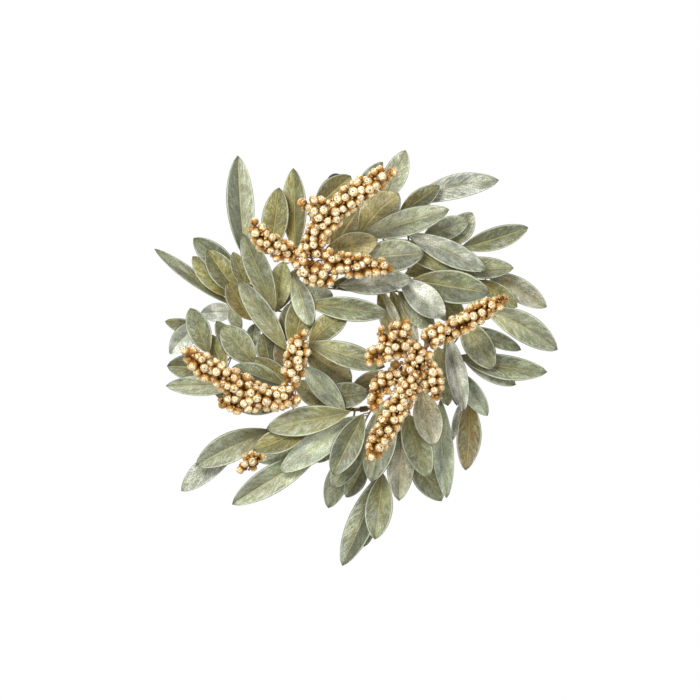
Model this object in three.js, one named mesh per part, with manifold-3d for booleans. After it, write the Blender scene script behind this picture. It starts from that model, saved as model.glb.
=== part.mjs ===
// A berry wreath: leaf picks and gold berry branches taped to a wire ring, with a hinged wire loop
// to hang it by. It hangs upright on a wall, with its front towards -Y.
// The origin is at the inside of the loop's top, where a nail holds it, at the depth of the loop's wire.
import * as THREE from "three";
import { mergeVertices } from "three/addons/utils/BufferGeometryUtils.js";
import Module from "manifold-3d";

const wasm = await Module();
wasm.setup();

// Ring and tape, in millimetres and degrees
const ringRadius = 72; // centre line of the ring
const planRadius = 72; // of the ring around which the picks and branches are drawn, below
const ringWire = 4;
const ringDepth = 8; // centre line of the ring in front of the wall
const ringSlots = 26; // places around the ring, the hanging loop's among them
const ringSteps = 48; // straight stretches around the ring
const ringSides = 5; // around the wire of the ring and of the loop
const seatGap = 0.3; // between pieces that touch
const stemWire = 2.4;
const stemStep = 12; // longest straight stretch in a stem or a strand
const wireCuts = [0.1, 0.3, 0.5, 0.7, 0.9]; // places in a straight stretch where something may join it
const wireSides = 4;
const tailLength = 11; // of a stem laid along the ring
const tapeLength = 8;
const tapeThickness = 0.8;

// Hanging loop
const loopWire = 2.6;
const loopAngle = 97; // around the ring, from +X
const loopReach = 93; // from the ring to the inside of the loop's top
const loopWidth = 17; // between the centre lines of its legs at the top
const eyeSpacing = 10; // between its two eyes on the ring
const eyeGap = 0.6; // between an eye and the ring wire
const eyeSteps = 9; // straight stretches around an eye
const loopStep = 30; // between the points of the loop's round top

// Leaves
const leafThickness = 1;
const leafCup = 1.3; // rise of a leaf's edges over its midrib
const bladeTaper = 1.1; // above 1 a leaf's widest place lies towards its tip
const bladeFullness = 0.65; // less makes its outline rounder
const petioleWidth = 1.6;
const bladeStart = 0.15; // of a leaf's length, within which it may lie close to its neighbours
const leafStations = 6; // steps along a leaf and its petiole
const petioleStations = 2; // of them, from its root within the stem to the base of the blade
const discStep = 0.1; // of a leaf's length, between the places at which its room is looked at
const leafMargin = 0.6; // kept free around a leaf, stem or berry

// Berries
const berryDiameter = 9.6;
const berrySpacing = 10.5; // along a strand
const berryWire = 1.6;
const forkWire = 1.1;
const pedicelWire = 1;
const pedicelSides = 3;
const berryTurn = 137.5; // from one berry to the next around its strand
const bareStem = 6; // of a strand before its first berry
const tipReach = 0.55; // of the berries' reach, at the tip of a strand
const tipBerries = 2; // that lie closer there
const strandSteps = 80; // stretches into which a strand is measured

// Layers: each leaf lies on a dished surface, and surfaces in front open out more steeply
const layerGap = 0.4; // from the tape to a stem on the first layer
const layerPitch = 3.5; // between layers over the ring
const spreadFirst = 0.08; // slope of the first layer away from the ring
const spreadStep = 0.045; // added slope of each further layer
const archDrop = 0.0011; // falling back of a layer's outer edge
const ringBlend = 30; // rounding of a layer over the ring
const leafOverStem = 0.5; // least layers from a stem up to its leaves

const tailDepth = ringDepth + (ringWire + stemWire) / 2 + seatGap;
const tapeBore = ringWire / 2 + seatGap;
const tapeStep = 60; // between the corners of the tape's round ends
const tapeCorner = 1 / Math.cos(THREE.MathUtils.degToRad(tapeStep / 2)); // the flats clear the wires
const tapeFront = tailDepth + (tapeBore + tapeThickness) * tapeCorner;
const firstLayer = tapeFront + layerGap + stemWire / 2;
const slotStep = 360 / ringSlots;
const riserTurn = slotStep / 2; // from the middle of a tail to its riser
const berryRadius = berryDiameter / 2;
const leastReach = berryRadius + stemWire / 2 + 2 * seatGap; // of a berry from its strand

const rad = THREE.MathUtils.degToRad;
const inFront = (x, z, depth) => new THREE.Vector3(x, -depth, z);
const onRing = (angle, radius, depth) =>
  inFront(radius * Math.cos(rad(angle)), radius * Math.sin(rad(angle)), depth);
const slotAngle = (slot) => loopAngle - slot * slotStep;
const arcDegrees = (length) => THREE.MathUtils.radToDeg(length / ringRadius);

function spreadAt(x, z) {
  const away = Math.hypot(x, z) - ringRadius;
  return Math.hypot(away, ringBlend) - ringBlend;
}

function layerDepth(layer, x, z) {
  const spread = spreadAt(x, z);
  const slope = spreadFirst + layer * spreadStep - archDrop * spread;
  return firstLayer + layer * layerPitch + slope * spread;
}

// The layer that has a given depth over a point
function layerOf(depth, x, z) {
  const spread = spreadAt(x, z);
  const flat = firstLayer + (spreadFirst - archDrop * spread) * spread;
  return (depth - flat) / (layerPitch + spreadStep * spread);
}

// Materials
const finish = (color, roughness, metalness) =>
  new THREE.MeshStandardMaterial({ color, roughness, metalness });
const sage = finish(0x92967a, 0.45, 0.1);
const mint = finish(0xbecbb4, 0.4, 0.15);
const olive = finish(0x7d7445, 0.5, 0.1);
const gold = finish(0xdeb478, 0.3, 0.7);
const tapeBrown = finish(0x4a3521, 0.8, 0);
const wireBrown = finish(0x5a4630, 0.5, 0.5);
const wireBlack = finish(0x1c1c1c, 0.5, 0.4);

// Solids
function solid(geometry) {
  const bare = geometry.clone();
  bare.deleteAttribute("normal");
  bare.deleteAttribute("uv");
  const merged = mergeVertices(bare, 1e-4);
  return new wasm.Manifold(
    new wasm.Mesh({
      numProp: 3,
      vertProperties: new Float32Array(merged.attributes.position.array),
      triVerts: new Uint32Array(merged.index.array),
    }),
  );
}

function joined(geometries) {
  const parts = geometries.map(solid);
  const whole = parts.slice(1).reduce((sum, part) => sum.add(part), parts[0]).getMesh();
  const geometry = new THREE.BufferGeometry();
  geometry.setAttribute("position", new THREE.BufferAttribute(whole.vertProperties, whole.numProp));
  geometry.setIndex(new THREE.BufferAttribute(whole.triVerts, 1));
  return geometry;
}

function roundOutline(diameter, sides) {
  const turns = Array.from({ length: sides }, (_, i) => (2 * Math.PI * i) / sides);
  const radius = diameter / 2;
  return new THREE.Shape(
    turns.map((a) => new THREE.Vector2(radius * Math.cos(a), radius * Math.sin(a))),
  );
}

const stepsAlong = (curve) => Math.ceil(curve.getLength() / stemStep);

function tube(points, diameter, sides) {
  const extrudePath = new THREE.CatmullRomCurve3(points);
  const steps = stepsAlong(extrudePath);
  return new THREE.ExtrudeGeometry(roundOutline(diameter, sides), {
    steps,
    bevelEnabled: false,
    extrudePath,
  });
}

function rod(from, to, diameter, sides) {
  const length = from.distanceTo(to);
  const aim = to.clone().sub(from).normalize();
  const geometry = new THREE.CylinderGeometry(diameter / 2, diameter / 2, length, sides);
  geometry.translate(0, length / 2, 0);
  geometry.applyQuaternion(new THREE.Quaternion().setFromUnitVectors(new THREE.Vector3(0, 1, 0), aim));
  geometry.translate(from.x, from.y, from.z);
  return geometry;
}

// Layout of what lies in front of what, as discs seen from the front
const laid = [];

function freeLayer(discs, pick) {
  let layer = 0;
  for (const a of discs) {
    for (const b of laid) {
      if (b.pick === pick && !(a.blade && b.blade)) continue;
      if (Math.hypot(a.x - b.x, a.z - b.z) < a.r + b.r) layer = Math.max(layer, b.top + 1);
    }
  }
  return layer;
}

function lay(discs, pick, top) {
  for (const disc of discs) laid.push({ ...disc, pick, top: top ?? disc.top });
}

// Stems
function stemRoute(slot, plan, depthOf) {
  const angle = slotAngle(slot);
  const halfTail = arcDegrees(tailLength / 2);
  const foot = angle - riserTurn;
  const [firstX, firstZ] = plan[0];
  const riser = onRing(foot, ringRadius, tailDepth);
  const top = depthOf(riser.x, riser.z);
  const route = [
    onRing(angle + halfTail, ringRadius, tailDepth),
    onRing(angle, ringRadius, tailDepth),
    onRing(angle - halfTail, ringRadius, tailDepth),
  ];
  if (top - tailDepth > 2 * stemWire) {
    route.push(onRing(foot, ringRadius, (tailDepth + top) / 2));
  }
  const bend = new THREE.Vector2(firstX - riser.x, firstZ - riser.z).setLength(stemWire);
  route.push(inFront(riser.x + bend.x, riser.z + bend.y, depthOf(riser.x + bend.x, riser.z + bend.y)));
  for (const [x, z] of plan) route.push(inFront(x, z, depthOf(x, z)));
  return route;
}

// Leaves
const leaf = (baseX, baseZ, tipX, tipZ, width, bow = 0) => ({ baseX, baseZ, tipX, tipZ, width, bow });

function bladeWidth(share) {
  return Math.sin(Math.PI * share ** bladeTaper) ** bladeFullness;
}

// A point over the leaf's plan: share runs from base to tip, side from -1 to 1
function leafPoint(shape, share, side) {
  const alongX = shape.tipX - shape.baseX;
  const alongZ = shape.tipZ - shape.baseZ;
  const length = Math.hypot(alongX, alongZ);
  const across = (side * shape.width * bladeWidth(share)) / 2 + shape.bow * Math.sin(Math.PI * share);
  return [
    shape.baseX + alongX * share - (alongZ / length) * across,
    shape.baseZ + alongZ * share + (alongX / length) * across,
  ];
}

function leafBase({ baseX, baseZ }, layer) {
  return inFront(baseX, baseZ, layerDepth(layer, baseX, baseZ));
}

function leafDiscs(shape, root) {
  const discs = [];
  for (let share = discStep; share < 1; share += discStep) {
    const [x, z] = leafPoint(shape, share, 0);
    const r = (shape.width / 2) * bladeWidth(share) + leafMargin;
    discs.push({ x, z, r, blade: share > bladeStart });
  }
  for (let share = 0; share <= 1; share += bladeStart) {
    const x = THREE.MathUtils.lerp(root.x, shape.baseX, share);
    const z = THREE.MathUtils.lerp(root.z, shape.baseZ, share);
    discs.push({ x, z, r: petioleWidth / 2 + leafMargin });
  }
  return discs;
}

// A leaf in sections: from its root within the stem along the petiole to the base of the blade, and
// on to the tip. The blade lies on its layer with its edges a little in front.
function leafSolid(shape, layer, root) {
  const shareOf = (station) => (station - petioleStations) / (leafStations - petioleStations);
  const bladePoint = (share, side, face) => {
    const [x, z] = leafPoint(shape, share, share < 1 ? side : 0);
    const rise = share < 1 ? (face * leafThickness) / 2 : 0;
    const cup = leafCup * side * side * bladeWidth(share);
    return inFront(x, z, layerDepth(layer, x, z) + rise + cup);
  };
  const base = leafBase(shape, layer);
  const lead = bladePoint(shareOf(petioleStations + 1), 0, 0).sub(base).normalize();
  const stalk = base.clone().sub(root).normalize();
  const bend = lead.clone().add(stalk).normalize();
  const plan = new THREE.Vector2(shape.tipX - shape.baseX, shape.tipZ - shape.baseZ).normalize();
  const petiolePoint = (centre, aim, side, face) =>
    inFront(-plan.y * side, plan.x * side, face)
      .multiplyScalar(petioleWidth / 2)
      .applyQuaternion(new THREE.Quaternion().setFromUnitVectors(lead, aim))
      .add(centre);
  const pointAt = (station, side, face) => {
    if (station === 0) return root.clone().addScaledVector(stalk, -petioleWidth / 4);
    if (station === 1) return petiolePoint(root, stalk, side, face);
    if (station === petioleStations) return petiolePoint(base, bend, side, face);
    return bladePoint(shareOf(station), side, face);
  };
  const geometry = new THREE.SphereGeometry(1, 4, leafStations);
  const place = geometry.attributes.position;
  const signOf = (value, girth) => Math.round(value / Math.max(girth, 1e-6));
  for (let i = 0; i < place.count; i += 1) {
    const station = Math.round((Math.acos(place.getY(i)) / Math.PI) * leafStations);
    const girth = Math.sin((station / leafStations) * Math.PI);
    const point = pointAt(station, signOf(place.getX(i), girth), signOf(place.getZ(i), girth));
    place.setXYZ(i, point.x, point.y, point.z);
  }
  return geometry;
}

// Points within the straight stretches of a stem or strand
function wirePath(route) {
  const curve = new THREE.CatmullRomCurve3(route);
  const ends = curve.getSpacedPoints(stepsAlong(curve));
  return ends.slice(1).flatMap((end, i) => wireCuts.map((cut) => ends[i].clone().lerp(end, cut)));
}

const nearest = (points, place) =>
  points.reduce((best, p) => (p.distanceTo(place) < best.distanceTo(place) ? p : best));

// A leaf joins its stem at a near point, from which it points away
function leafRoot(points, shape) {
  const leadX = shape.tipX - shape.baseX;
  const leadZ = shape.tipZ - shape.baseZ;
  const cost = (p) => {
    const wayX = shape.baseX - p.x;
    const wayZ = shape.baseZ - p.z;
    const way = Math.hypot(wayX, wayZ) + 1e-6;
    const ahead = (wayX * leadX + wayZ * leadZ) / (way * Math.hypot(leadX, leadZ));
    return way * (2 - ahead);
  };
  return points.reduce((best, p) => (cost(p) < cost(best) ? p : best));
}

const wireDiscs = (points, wire) =>
  points.map((p) => ({ x: p.x, z: p.z, r: wire / 2 + leafMargin }));

function leafPick({ name, slot, stem, leaves }) {
  const routeOn = (layer) => stemRoute(slot, stem, (x, z) => layerDepth(layer, x, z));
  const offRing = (p) => -p.y > tailDepth + stemWire / 2;
  const layer = freeLayer(wireDiscs(wirePath(routeOn(1)).filter(offRing), stemWire), name);
  const route = routeOn(layer);
  const points = wirePath(route);
  lay(wireDiscs(points, stemWire), name, layer);
  let carrier = points.slice(Math.round(points.length / 3));
  const solids = [tube(route, stemWire, wireSides)];
  for (const shape of leaves) {
    const root = leafRoot(carrier, shape);
    carrier = carrier.filter((p) => p !== root);
    const discs = leafDiscs(shape, root);
    const over = Math.max(freeLayer(discs, name), layer + leafOverStem);
    lay(discs, name, over);
    solids.push(leafSolid(shape, over, root));
  }
  return joined(solids);
}

// Berry branches: a strand is a wire with berries set around it on short pedicels
const berriesLaid = [];

function segmentDistance(point, start, end) {
  return new THREE.Line3(start, end)
    .closestPointToPoint(point, true, new THREE.Vector3())
    .distanceTo(point);
}

// Berries around the stretch of a wire that starts at one of its points
function strandBerries(wire, first, { name: branch, reach, bare = bareStem }, layer, lift) {
  const path = wirePath(wire);
  const whole = new THREE.CatmullRomCurve3(wire);
  const start = first / (wire.length - 1);
  const samples = Array.from({ length: strandSteps + 1 }, (_, i) =>
    whole.getPoint(THREE.MathUtils.lerp(start, 1, i / strandSteps)),
  );
  const curve = new THREE.CatmullRomCurve3(samples);
  const length = curve.getLength();
  const count = Math.floor((length - bare) / berrySpacing);
  for (let i = 0; i < count; i += 1) {
    const share = (bare + (i + 1) * berrySpacing) / length;
    const from = nearest(path, curve.getPointAt(share - berrySpacing / length / 2));
    const on = curve.getPointAt(share);
    const along = curve.getTangentAt(share);
    const turn = rad(i * berryTurn);
    const out = Math.max(reach * (i < count - tipBerries ? 1 : tipReach), leastReach);
    const level = Math.hypot(along.x, along.z);
    const x = on.x - (along.z / level) * out * Math.cos(turn);
    const z = on.z + (along.x / level) * out * Math.cos(turn);
    const centre = inFront(x, z, layerDepth(layer, x, z) + lift + out * Math.sin(turn));
    const room = (other) =>
      centre.distanceTo(other.centre) > berryRadius + other.radius &&
      ((other.branch === branch && other.wire) ||
        segmentDistance(other.centre, from, centre) > other.radius + pedicelWire);
    if (berriesLaid.every(room)) berriesLaid.push({ from, centre, radius: berryRadius + seatGap, branch });
  }
}

// A berry with one of its facets turned to the pedicel, and the pedicel
function berrySolids({ from, centre }) {
  const aim = centre.clone().sub(from).normalize();
  const berry = new THREE.IcosahedronGeometry(berryRadius, 0);
  const corner = (i) => new THREE.Vector3().fromBufferAttribute(berry.attributes.position, i);
  const facet = corner(0).add(corner(1)).add(corner(2)).normalize().negate();
  berry.applyQuaternion(new THREE.Quaternion().setFromUnitVectors(facet, aim));
  berry.translate(centre.x, centre.y, centre.z);
  return [berry, rod(from, centre, pedicelWire, pedicelSides)];
}

function branchDiscs({ strands, reach, bare = bareStem }) {
  return strands.flatMap((strand) => {
    const curve = new THREE.CatmullRomCurve3(strand.map(([x, z]) => inFront(x, z, 0)));
    const length = curve.getLength();
    return curve.getSpacedPoints(Math.ceil(length / berrySpacing)).map((p, i) => {
      const thin = i * berrySpacing < bare - berryRadius;
      return { x: p.x, z: p.z, r: (thin ? berryWire / 2 : reach + berryRadius) + leafMargin };
    });
  });
}

// Wires of a branch: a leader runs up from its slot, another branch starts beside its leader,
// and a fork starts on the first strand
function branchWires({ slot, strands, reach }, layer, leaderPoints) {
  const lift = reach + berryRadius + seatGap;
  const depthOf = (x, z) => layerDepth(layer, x, z) + lift;
  const [main, ...forks] = strands.map((s) => s.map(([x, z]) => inFront(x, z, depthOf(x, z))));
  let stem = main;
  if (slot !== undefined) stem = stemRoute(slot, strands[0], depthOf);
  if (leaderPoints) {
    const near = nearest(leaderPoints, main[0]);
    const step = main[0].clone().sub(near).setLength(stemWire / 2 + 2 * seatGap);
    stem = [near.clone().add(step), ...main];
  }
  for (const fork of forks) fork[0] = nearest(wirePath(stem), fork[0]);
  return { wires: [stem, ...forks], lift };
}

function berryBranch(branch, layer, leaderPoints) {
  const { name, slot, strands } = branch;
  const { wires, lift } = branchWires(branch, layer, leaderPoints);
  wires.forEach((wire, i) => strandBerries(wire, wire.length - strands[i].length, branch, layer, lift));
  const own = berriesLaid.filter((berry) => berry.branch === name && !berry.wire);
  const [main, ...forks] = wires;
  const stem = tube(main, slot === undefined ? berryWire : stemWire, wireSides);
  const side = forks.map((fork) => tube(fork, forkWire, wireSides));
  return joined([stem, ...side, ...own.flatMap(berrySolids)]);
}

// Tape over a tail and the ring wire: a sleeve with an oval bore, bent with the ring
class RingArc extends THREE.Curve {
  constructor(from, to) {
    super();
    this.from = from;
    this.to = to;
  }

  getPoint(share, target = new THREE.Vector3()) {
    const angle = THREE.MathUtils.lerp(this.from, this.to, share);
    return target.copy(onRing(angle, ringRadius, ringDepth));
  }
}

function ovalOutline(radius) {
  const outline = new THREE.Shape();
  for (let angle = -90; angle <= 90; angle += tapeStep) {
    const x = tailDepth - ringDepth + radius * Math.cos(rad(angle));
    const y = radius * Math.sin(rad(angle));
    if (angle === -90) outline.moveTo(x, y);
    else outline.lineTo(x, y);
  }
  for (let angle = 90; angle <= 270; angle += tapeStep) {
    outline.lineTo(radius * Math.cos(rad(angle)), radius * Math.sin(rad(angle)));
  }
  return outline;
}

function tapeSleeve(slot) {
  const wall = ovalOutline((tapeBore + tapeThickness) * tapeCorner);
  wall.holes.push(ovalOutline(tapeBore * tapeCorner));
  const half = arcDegrees(tapeLength / 2);
  return new THREE.ExtrudeGeometry(wall, {
    steps: 1,
    bevelEnabled: false,
    extrudePath: new RingArc(slotAngle(slot) + half, slotAngle(slot) - half),
  });
}

// Ring and hanging loop
function ringSolid() {
  const ring = new THREE.TorusGeometry(ringRadius, ringWire / 2, ringSides, ringSteps);
  ring.rotateX(Math.PI / 2);
  ring.translate(0, -ringDepth, 0);
  return ring;
}

function loopSolid() {
  const eyeRadius = (ringWire + loopWire) / 2 + eyeGap;
  const halfEyes = arcDegrees(eyeSpacing / 2);
  const outward = onRing(loopAngle, 1, 0);
  const sideways = onRing(loopAngle + 90, 1, 0);
  const eyes = [-halfEyes, halfEyes].map((turn) => {
    const eye = new THREE.TorusGeometry(eyeRadius, loopWire / 2, ringSides, eyeSteps);
    eye.rotateY(Math.PI / 2);
    const tangent = onRing(loopAngle + turn + 90, 1, 0);
    const aim = new THREE.Quaternion().setFromUnitVectors(new THREE.Vector3(1, 0, 0), tangent);
    eye.applyQuaternion(aim);
    const onWire = onRing(loopAngle + turn, ringRadius, ringDepth);
    eye.translate(onWire.x, onWire.y, onWire.z);
    return eye;
  });
  const across = loopWidth / 2;
  const topDepth = loopWire / 2;
  const straight = loopReach - across;
  const middle = [straight / 2, (ringDepth + topDepth) / 2];
  const point = (side, up, depth) =>
    outward
      .clone()
      .multiplyScalar(ringRadius + up)
      .addScaledVector(sideways, side)
      .setY(-depth);
  const route = [point(eyeSpacing / 2, eyeRadius, ringDepth)];
  route.push(point(across, ...middle));
  for (let angle = 0; angle <= 180; angle += loopStep) {
    const up = straight + (across + loopWire / 2) * Math.sin(rad(angle));
    route.push(point(across * Math.cos(rad(angle)), up, topDepth));
  }
  route.push(point(-across, ...middle));
  route.push(point(-eyeSpacing / 2, eyeRadius, ringDepth));
  return joined([tube(route, loopWire, ringSides), ...eyes]);
}

// Picks and branches from back to front, in the order in which they are taped on.
// Leaves give the base and tip of the blade and its width, stems and strands give their points,
// all seen from the front, X to the right and Z up from the middle of the ring.
const drawn = [
  {
    name: "leaf_pick_upper_left_outer",
    slot: 22,
    material: sage,
    stem: [[-84, 46], [-108, 56], [-111, 76]],
    leaves: [
      leaf(-126, 34, -202, 90, 14),
      leaf(-129, 42, -163, 82, 21),
      leaf(-115, 60, -162, 100, 25),
      leaf(-117, 44, -148, 88, 26),
      leaf(-110, 80, -118, 184, 28, 1),
      leaf(-119, 27, -155, 25, 19),
    ],
  },
  {
    name: "leaf_pick_left_outer",
    slot: 19,
    material: olive,
    stem: [[-95, -12], [-130, -14], [-150, 2]],
    leaves: [
      leaf(-150, 5, -191, 17, 15),
      leaf(-151, 18, -186, -16, 22, -2),
      leaf(-134, -31, -189, -28, 27),
      leaf(-131, -36, -146, 4, 20),
      leaf(-147, -15, -165, 30, 24),
    ],
  },
  {
    name: "leaf_pick_left_lower",
    slot: 16,
    material: mint,
    stem: [[-66, -64], [-95, -66], [-116, -56]],
    leaves: [
      leaf(-113, -64, -143, -50, 16),
      leaf(-114, -47, -190, -48, 21),
      leaf(-66, -64, -120, -70, 20),
    ],
  },
  {
    name: "leaf_pick_lower_left_outer",
    slot: 15,
    material: sage,
    stem: [[-50, -80], [-84, -98], [-117, -114]],
    leaves: [
      leaf(-120, -114, -175, -154, 23, -3),
      leaf(-84, -93, -160, -128, 30, -2),
    ],
  },
  {
    name: "berry_branch_lower_left",
    material: gold,
    reach: 5,
    bare: 40,
    leader: "berry_branch_left",
    strands: [[[-66, -54], [-78, -80], [-90, -104], [-112, -131]]],
  },
  {
    name: "leaf_pick_bottom_left_outer",
    slot: 13,
    material: mint,
    stem: [[-4, -92], [-14, -111], [-32, -119]],
    leaves: [
      leaf(-46, -110, -94, -124, 13),
      leaf(-11, -95, -39, -125, 17),
      leaf(-34, -113, -122, -165, 28, -1),
      leaf(-9, -116, -27, -171, 23),
    ],
  },
  {
    name: "leaf_pick_bottom_outer",
    slot: 11,
    material: sage,
    stem: [[28, -92], [20, -120], [20, -146]],
    leaves: [
      leaf(18, -150, 9, -210, 21),
      leaf(24, -138, -13, -229, 27, 1),
      leaf(28, -136, 20, -202, 28),
      leaf(12, -123, -9, -160, 20),
    ],
  },
  {
    name: "leaf_pick_right_lower",
    slot: 9,
    material: olive,
    stem: [[82, -44], [102, -46], [109, -60]],
    leaves: [
      leaf(106, -64, 98, -103, 8),
      leaf(114, -60, 111, -133, 25, 2),
      leaf(105, -34, 133, -78, 20, -1),
    ],
  },
  {
    name: "leaf_pick_right_upper_outer",
    slot: 6,
    material: sage,
    stem: [[95, 14], [120, 30], [131, 58]],
    leaves: [
      leaf(114, 11, 167, -12, 16),
      leaf(132, 66, 193, 31, 24, 1),
      leaf(124, 58, 163, 31, 20),
      leaf(130, 30, 203, -12, 29, 3),
    ],
  },
  {
    name: "leaf_pick_top_right_outer",
    slot: 3,
    material: mint,
    stem: [[56, 78], [53, 104], [47, 130]],
    leaves: [
      leaf(56, 137, 145, 159, 25, 4),
      leaf(44, 124, 85, 153, 20),
    ],
  },
  {
    name: "leaf_pick_top_outer",
    slot: 2,
    material: sage,
    stem: [[32, 88], [20, 118], [6, 140]],
    leaves: [
      leaf(0, 145, 28, 177, 15),
      leaf(29, 136, 51, 189, 24),
    ],
  },
  {
    name: "leaf_pick_top_left",
    slot: 25,
    material: olive,
    stem: [[-30, 88], [-50, 96], [-74, 92]],
    leaves: [
      leaf(-40, 131, -4, 163, 27),
      leaf(-60, 86, -62, 171, 25),
      leaf(-85, 84, -76, 151, 27),
      leaf(-46, 90, -31, 130, 12),
      leaf(-23, 90, -3, 126, 24),
    ],
  },
  {
    name: "leaf_pick_bottom_right",
    slot: 10,
    material: sage,
    stem: [[54, -72], [59, -94], [63, -110]],
    leaves: [
      leaf(44, -40, -2, -48, 23),
      leaf(60, -108, 87, -164, 28, -3),
      leaf(86, -62, 92, -161, 22, -1),
      leaf(48, -84, 44, -163, 28),
      leaf(50, -74, 73, -139, 29),
      leaf(66, -52, 79, -107, 29),
      leaf(34, -60, 16, -144, 34),
    ],
  },
  {
    name: "leaf_pick_upper_right",
    slot: 5,
    material: olive,
    stem: [[77, 48], [74, 80], [96, 88]],
    leaves: [
      leaf(50, 64, 92, 75, 18),
      leaf(94, 92, 118, 126, 25),
      leaf(106, 90, 174, 111, 23, -1),
      leaf(94, 75, 159, 70, 22, -2),
      leaf(68, 101, 114, 118, 23),
      leaf(72, 46, 110, 18, 27),
      leaf(38, 98, 102, 67, 22),
      leaf(54, 104, 131, 68, 25),
      leaf(58, 58, 134, 45, 34),
    ],
  },
  {
    name: "leaf_pick_right",
    slot: 8,
    material: mint,
    stem: [[84, -14], [100, -4], [110, 15]],
    leaves: [
      leaf(107, -18, 161, -47, 20),
      leaf(104, -18, 192, -34, 25, -3),
      leaf(90, 0, 102, -68, 13),
      leaf(82, -8, 93, -68, 24),
      leaf(94, 2, 109, -73, 21),
      leaf(106, 20, 138, -31, 29),
    ],
  },
  {
    name: "leaf_pick_top",
    slot: 1,
    material: sage,
    stem: [[15, 84], [8, 98]],
    leaves: [
      leaf(5, 104, 44, 145, 36, 3),
      leaf(6, 102, 94, 128, 27),
      leaf(4, 79, 69, 84, 31),
      leaf(-32, 88, 23, 99, 25),
    ],
  },
  {
    name: "leaf_pick_left",
    slot: 18,
    material: olive,
    stem: [[-80, -31], [-98, -24], [-110, -16]],
    leaves: [
      leaf(-114, 8, -126, 28, 13),
      leaf(-113, -25, -139, 17, 19),
      leaf(-103, -10, -101, 14, 15),
      leaf(-100, -26, -133, 12, 30),
      leaf(-84, -30, -92, 5, 22),
      leaf(-64, -42, -77, -2, 21),
      leaf(-64, -44, -101, -20, 18),
      leaf(-70, -48, -122, -29, 25),
    ],
  },
  {
    name: "leaf_pick_upper_left",
    slot: 21,
    material: mint,
    stem: [[-80, 28], [-98, 32]],
    leaves: [
      leaf(-107, 48, -122, 86, 17),
      leaf(-80, 26, -57, 70, 17),
      leaf(-80, 28, -72, 77, 24),
      leaf(-104, 18, -127, 56, 24),
      leaf(-80, 28, -112, 104, 25),
    ],
  },
  {
    name: "leaf_pick_inner_left",
    slot: 20,
    material: sage,
    stem: [[-60, 2], [-48, -8]],
    leaves: [
      leaf(-72, -6, -65, 35, 17),
      leaf(-52, -10, -3, -44, 30),
      leaf(-62, -12, -49, 46, 30),
      leaf(-46, -8, -8, 22, 25, 4),
      leaf(-46, -5, 30, -29, 25),
      leaf(-68, -12, -116, 57, 23),
    ],
  },
  {
    name: "leaf_pick_inner_right",
    slot: 4,
    material: mint,
    stem: [[48, 46], [38, 47], [30, 46]],
    leaves: [
      leaf(46, 34, 62, -10, 15),
      leaf(24, 48, 42, -6, 18),
      leaf(36, 48, 53, 9, 16),
      leaf(28, 47, 46, 9, 9),
      leaf(44, 46, 79, 8, 24),
      leaf(46, 58, 90, 21, 30),
    ],
  },
  {
    name: "leaf_pick_inner_top",
    slot: 23,
    material: sage,
    stem: [[-40, 53], [-26, 50], [-16, 49]],
    leaves: [
      leaf(-60, 40, -22, 43, 25),
      leaf(-61, 62, -44, 12, 22),
      leaf(-42, 35, 33, 24, 24),
      leaf(-26, 53, 18, 57, 16),
      leaf(-16, 52, 57, 59, 25),
    ],
  },
  {
    name: "leaf_pick_bottom",
    slot: 12,
    material: mint,
    stem: [[10, -84], [7, -101]],
    leaves: [
      leaf(8, -98, -22, -149, 27),
      leaf(4, -78, -75, -133, 28),
      leaf(8, -76, -22, -136, 29),
    ],
  },
  {
    name: "leaf_pick_inner_bottom",
    slot: 14,
    material: sage,
    stem: [[-26, -74], [-38, -86]],
    leaves: [
      leaf(-16, -70, -60, -45, 26),
      leaf(-38, -60, 14, -55, 27),
      leaf(-10, -74, -50, -29, 24),
      leaf(-45, -91, -101, -111, 25),
      leaf(-6, -74, -88, -90, 29),
    ],
  },
  {
    name: "berry_branch_left",
    slot: 17,
    material: gold,
    reach: 9,
    bare: 0,
    strands: [[[-62, -54], [-82, -60], [-100, -55], [-115, -47], [-140, -34], [-166, -15]]],
  },
  {
    name: "berry_branch_left_upper",
    material: gold,
    reach: 8,
    leader: "berry_branch_left",
    strands: [[[-68, -46], [-62, -34], [-56, -12], [-53, 2]]],
  },
  {
    name: "berry_branch_left_lower",
    material: gold,
    reach: 6,
    leader: "berry_branch_left",
    strands: [[[-88, -62], [-110, -65], [-132, -63]]],
  },
  {
    name: "berry_branch_top",
    slot: 24,
    material: gold,
    reach: 9,
    strands: [
      [[-42, 76], [-43, 88], [-32, 110], [-8, 136], [34, 164]],
      [[-33, 109], [-42, 121], [-50, 132]],
    ],
  },
  {
    name: "berry_branch_top_left",
    material: gold,
    reach: 8,
    leader: "berry_branch_top",
    strands: [[[-50, 80], [-66, 84], [-86, 95], [-101, 113]]],
  },
  {
    name: "berry_branch_top_right",
    material: gold,
    reach: 8,
    leader: "berry_branch_top",
    strands: [
      [[-36, 77], [-10, 72], [34, 70]],
      [[-36, 77], [-46, 66], [-40, 56], [-22, 55]],
    ],
  },
  {
    name: "berry_branch_right",
    slot: 7,
    material: gold,
    reach: 10,
    strands: [
      [[70, -16], [60, -40], [43, -67], [17, -117]],
      [[66, -26], [76, -42], [80, -56]],
    ],
  },
  {
    name: "berry_branch_right_upper",
    material: gold,
    reach: 7,
    leader: "berry_branch_right",
    bare: 0,
    strands: [[[72, -4], [92, 7], [110, 17], [147, 39]]],
  },
  {
    name: "berry_branch_inner_right",
    material: gold,
    reach: 8,
    leader: "berry_branch_right",
    bare: 0,
    strands: [
      [[62, -14], [44, -10], [27, 4]],
      [[48, -11], [44, 2], [47, 13]],
      [[40, -9], [28, -14], [16, -20]],
    ],
  },
  {
    name: "berry_branch_inner_lower",
    material: gold,
    reach: 7,
    leader: "berry_branch_right",
    strands: [[[58, -32], [38, -36], [25, -48], [18, -66]]],
  },
];

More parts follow.
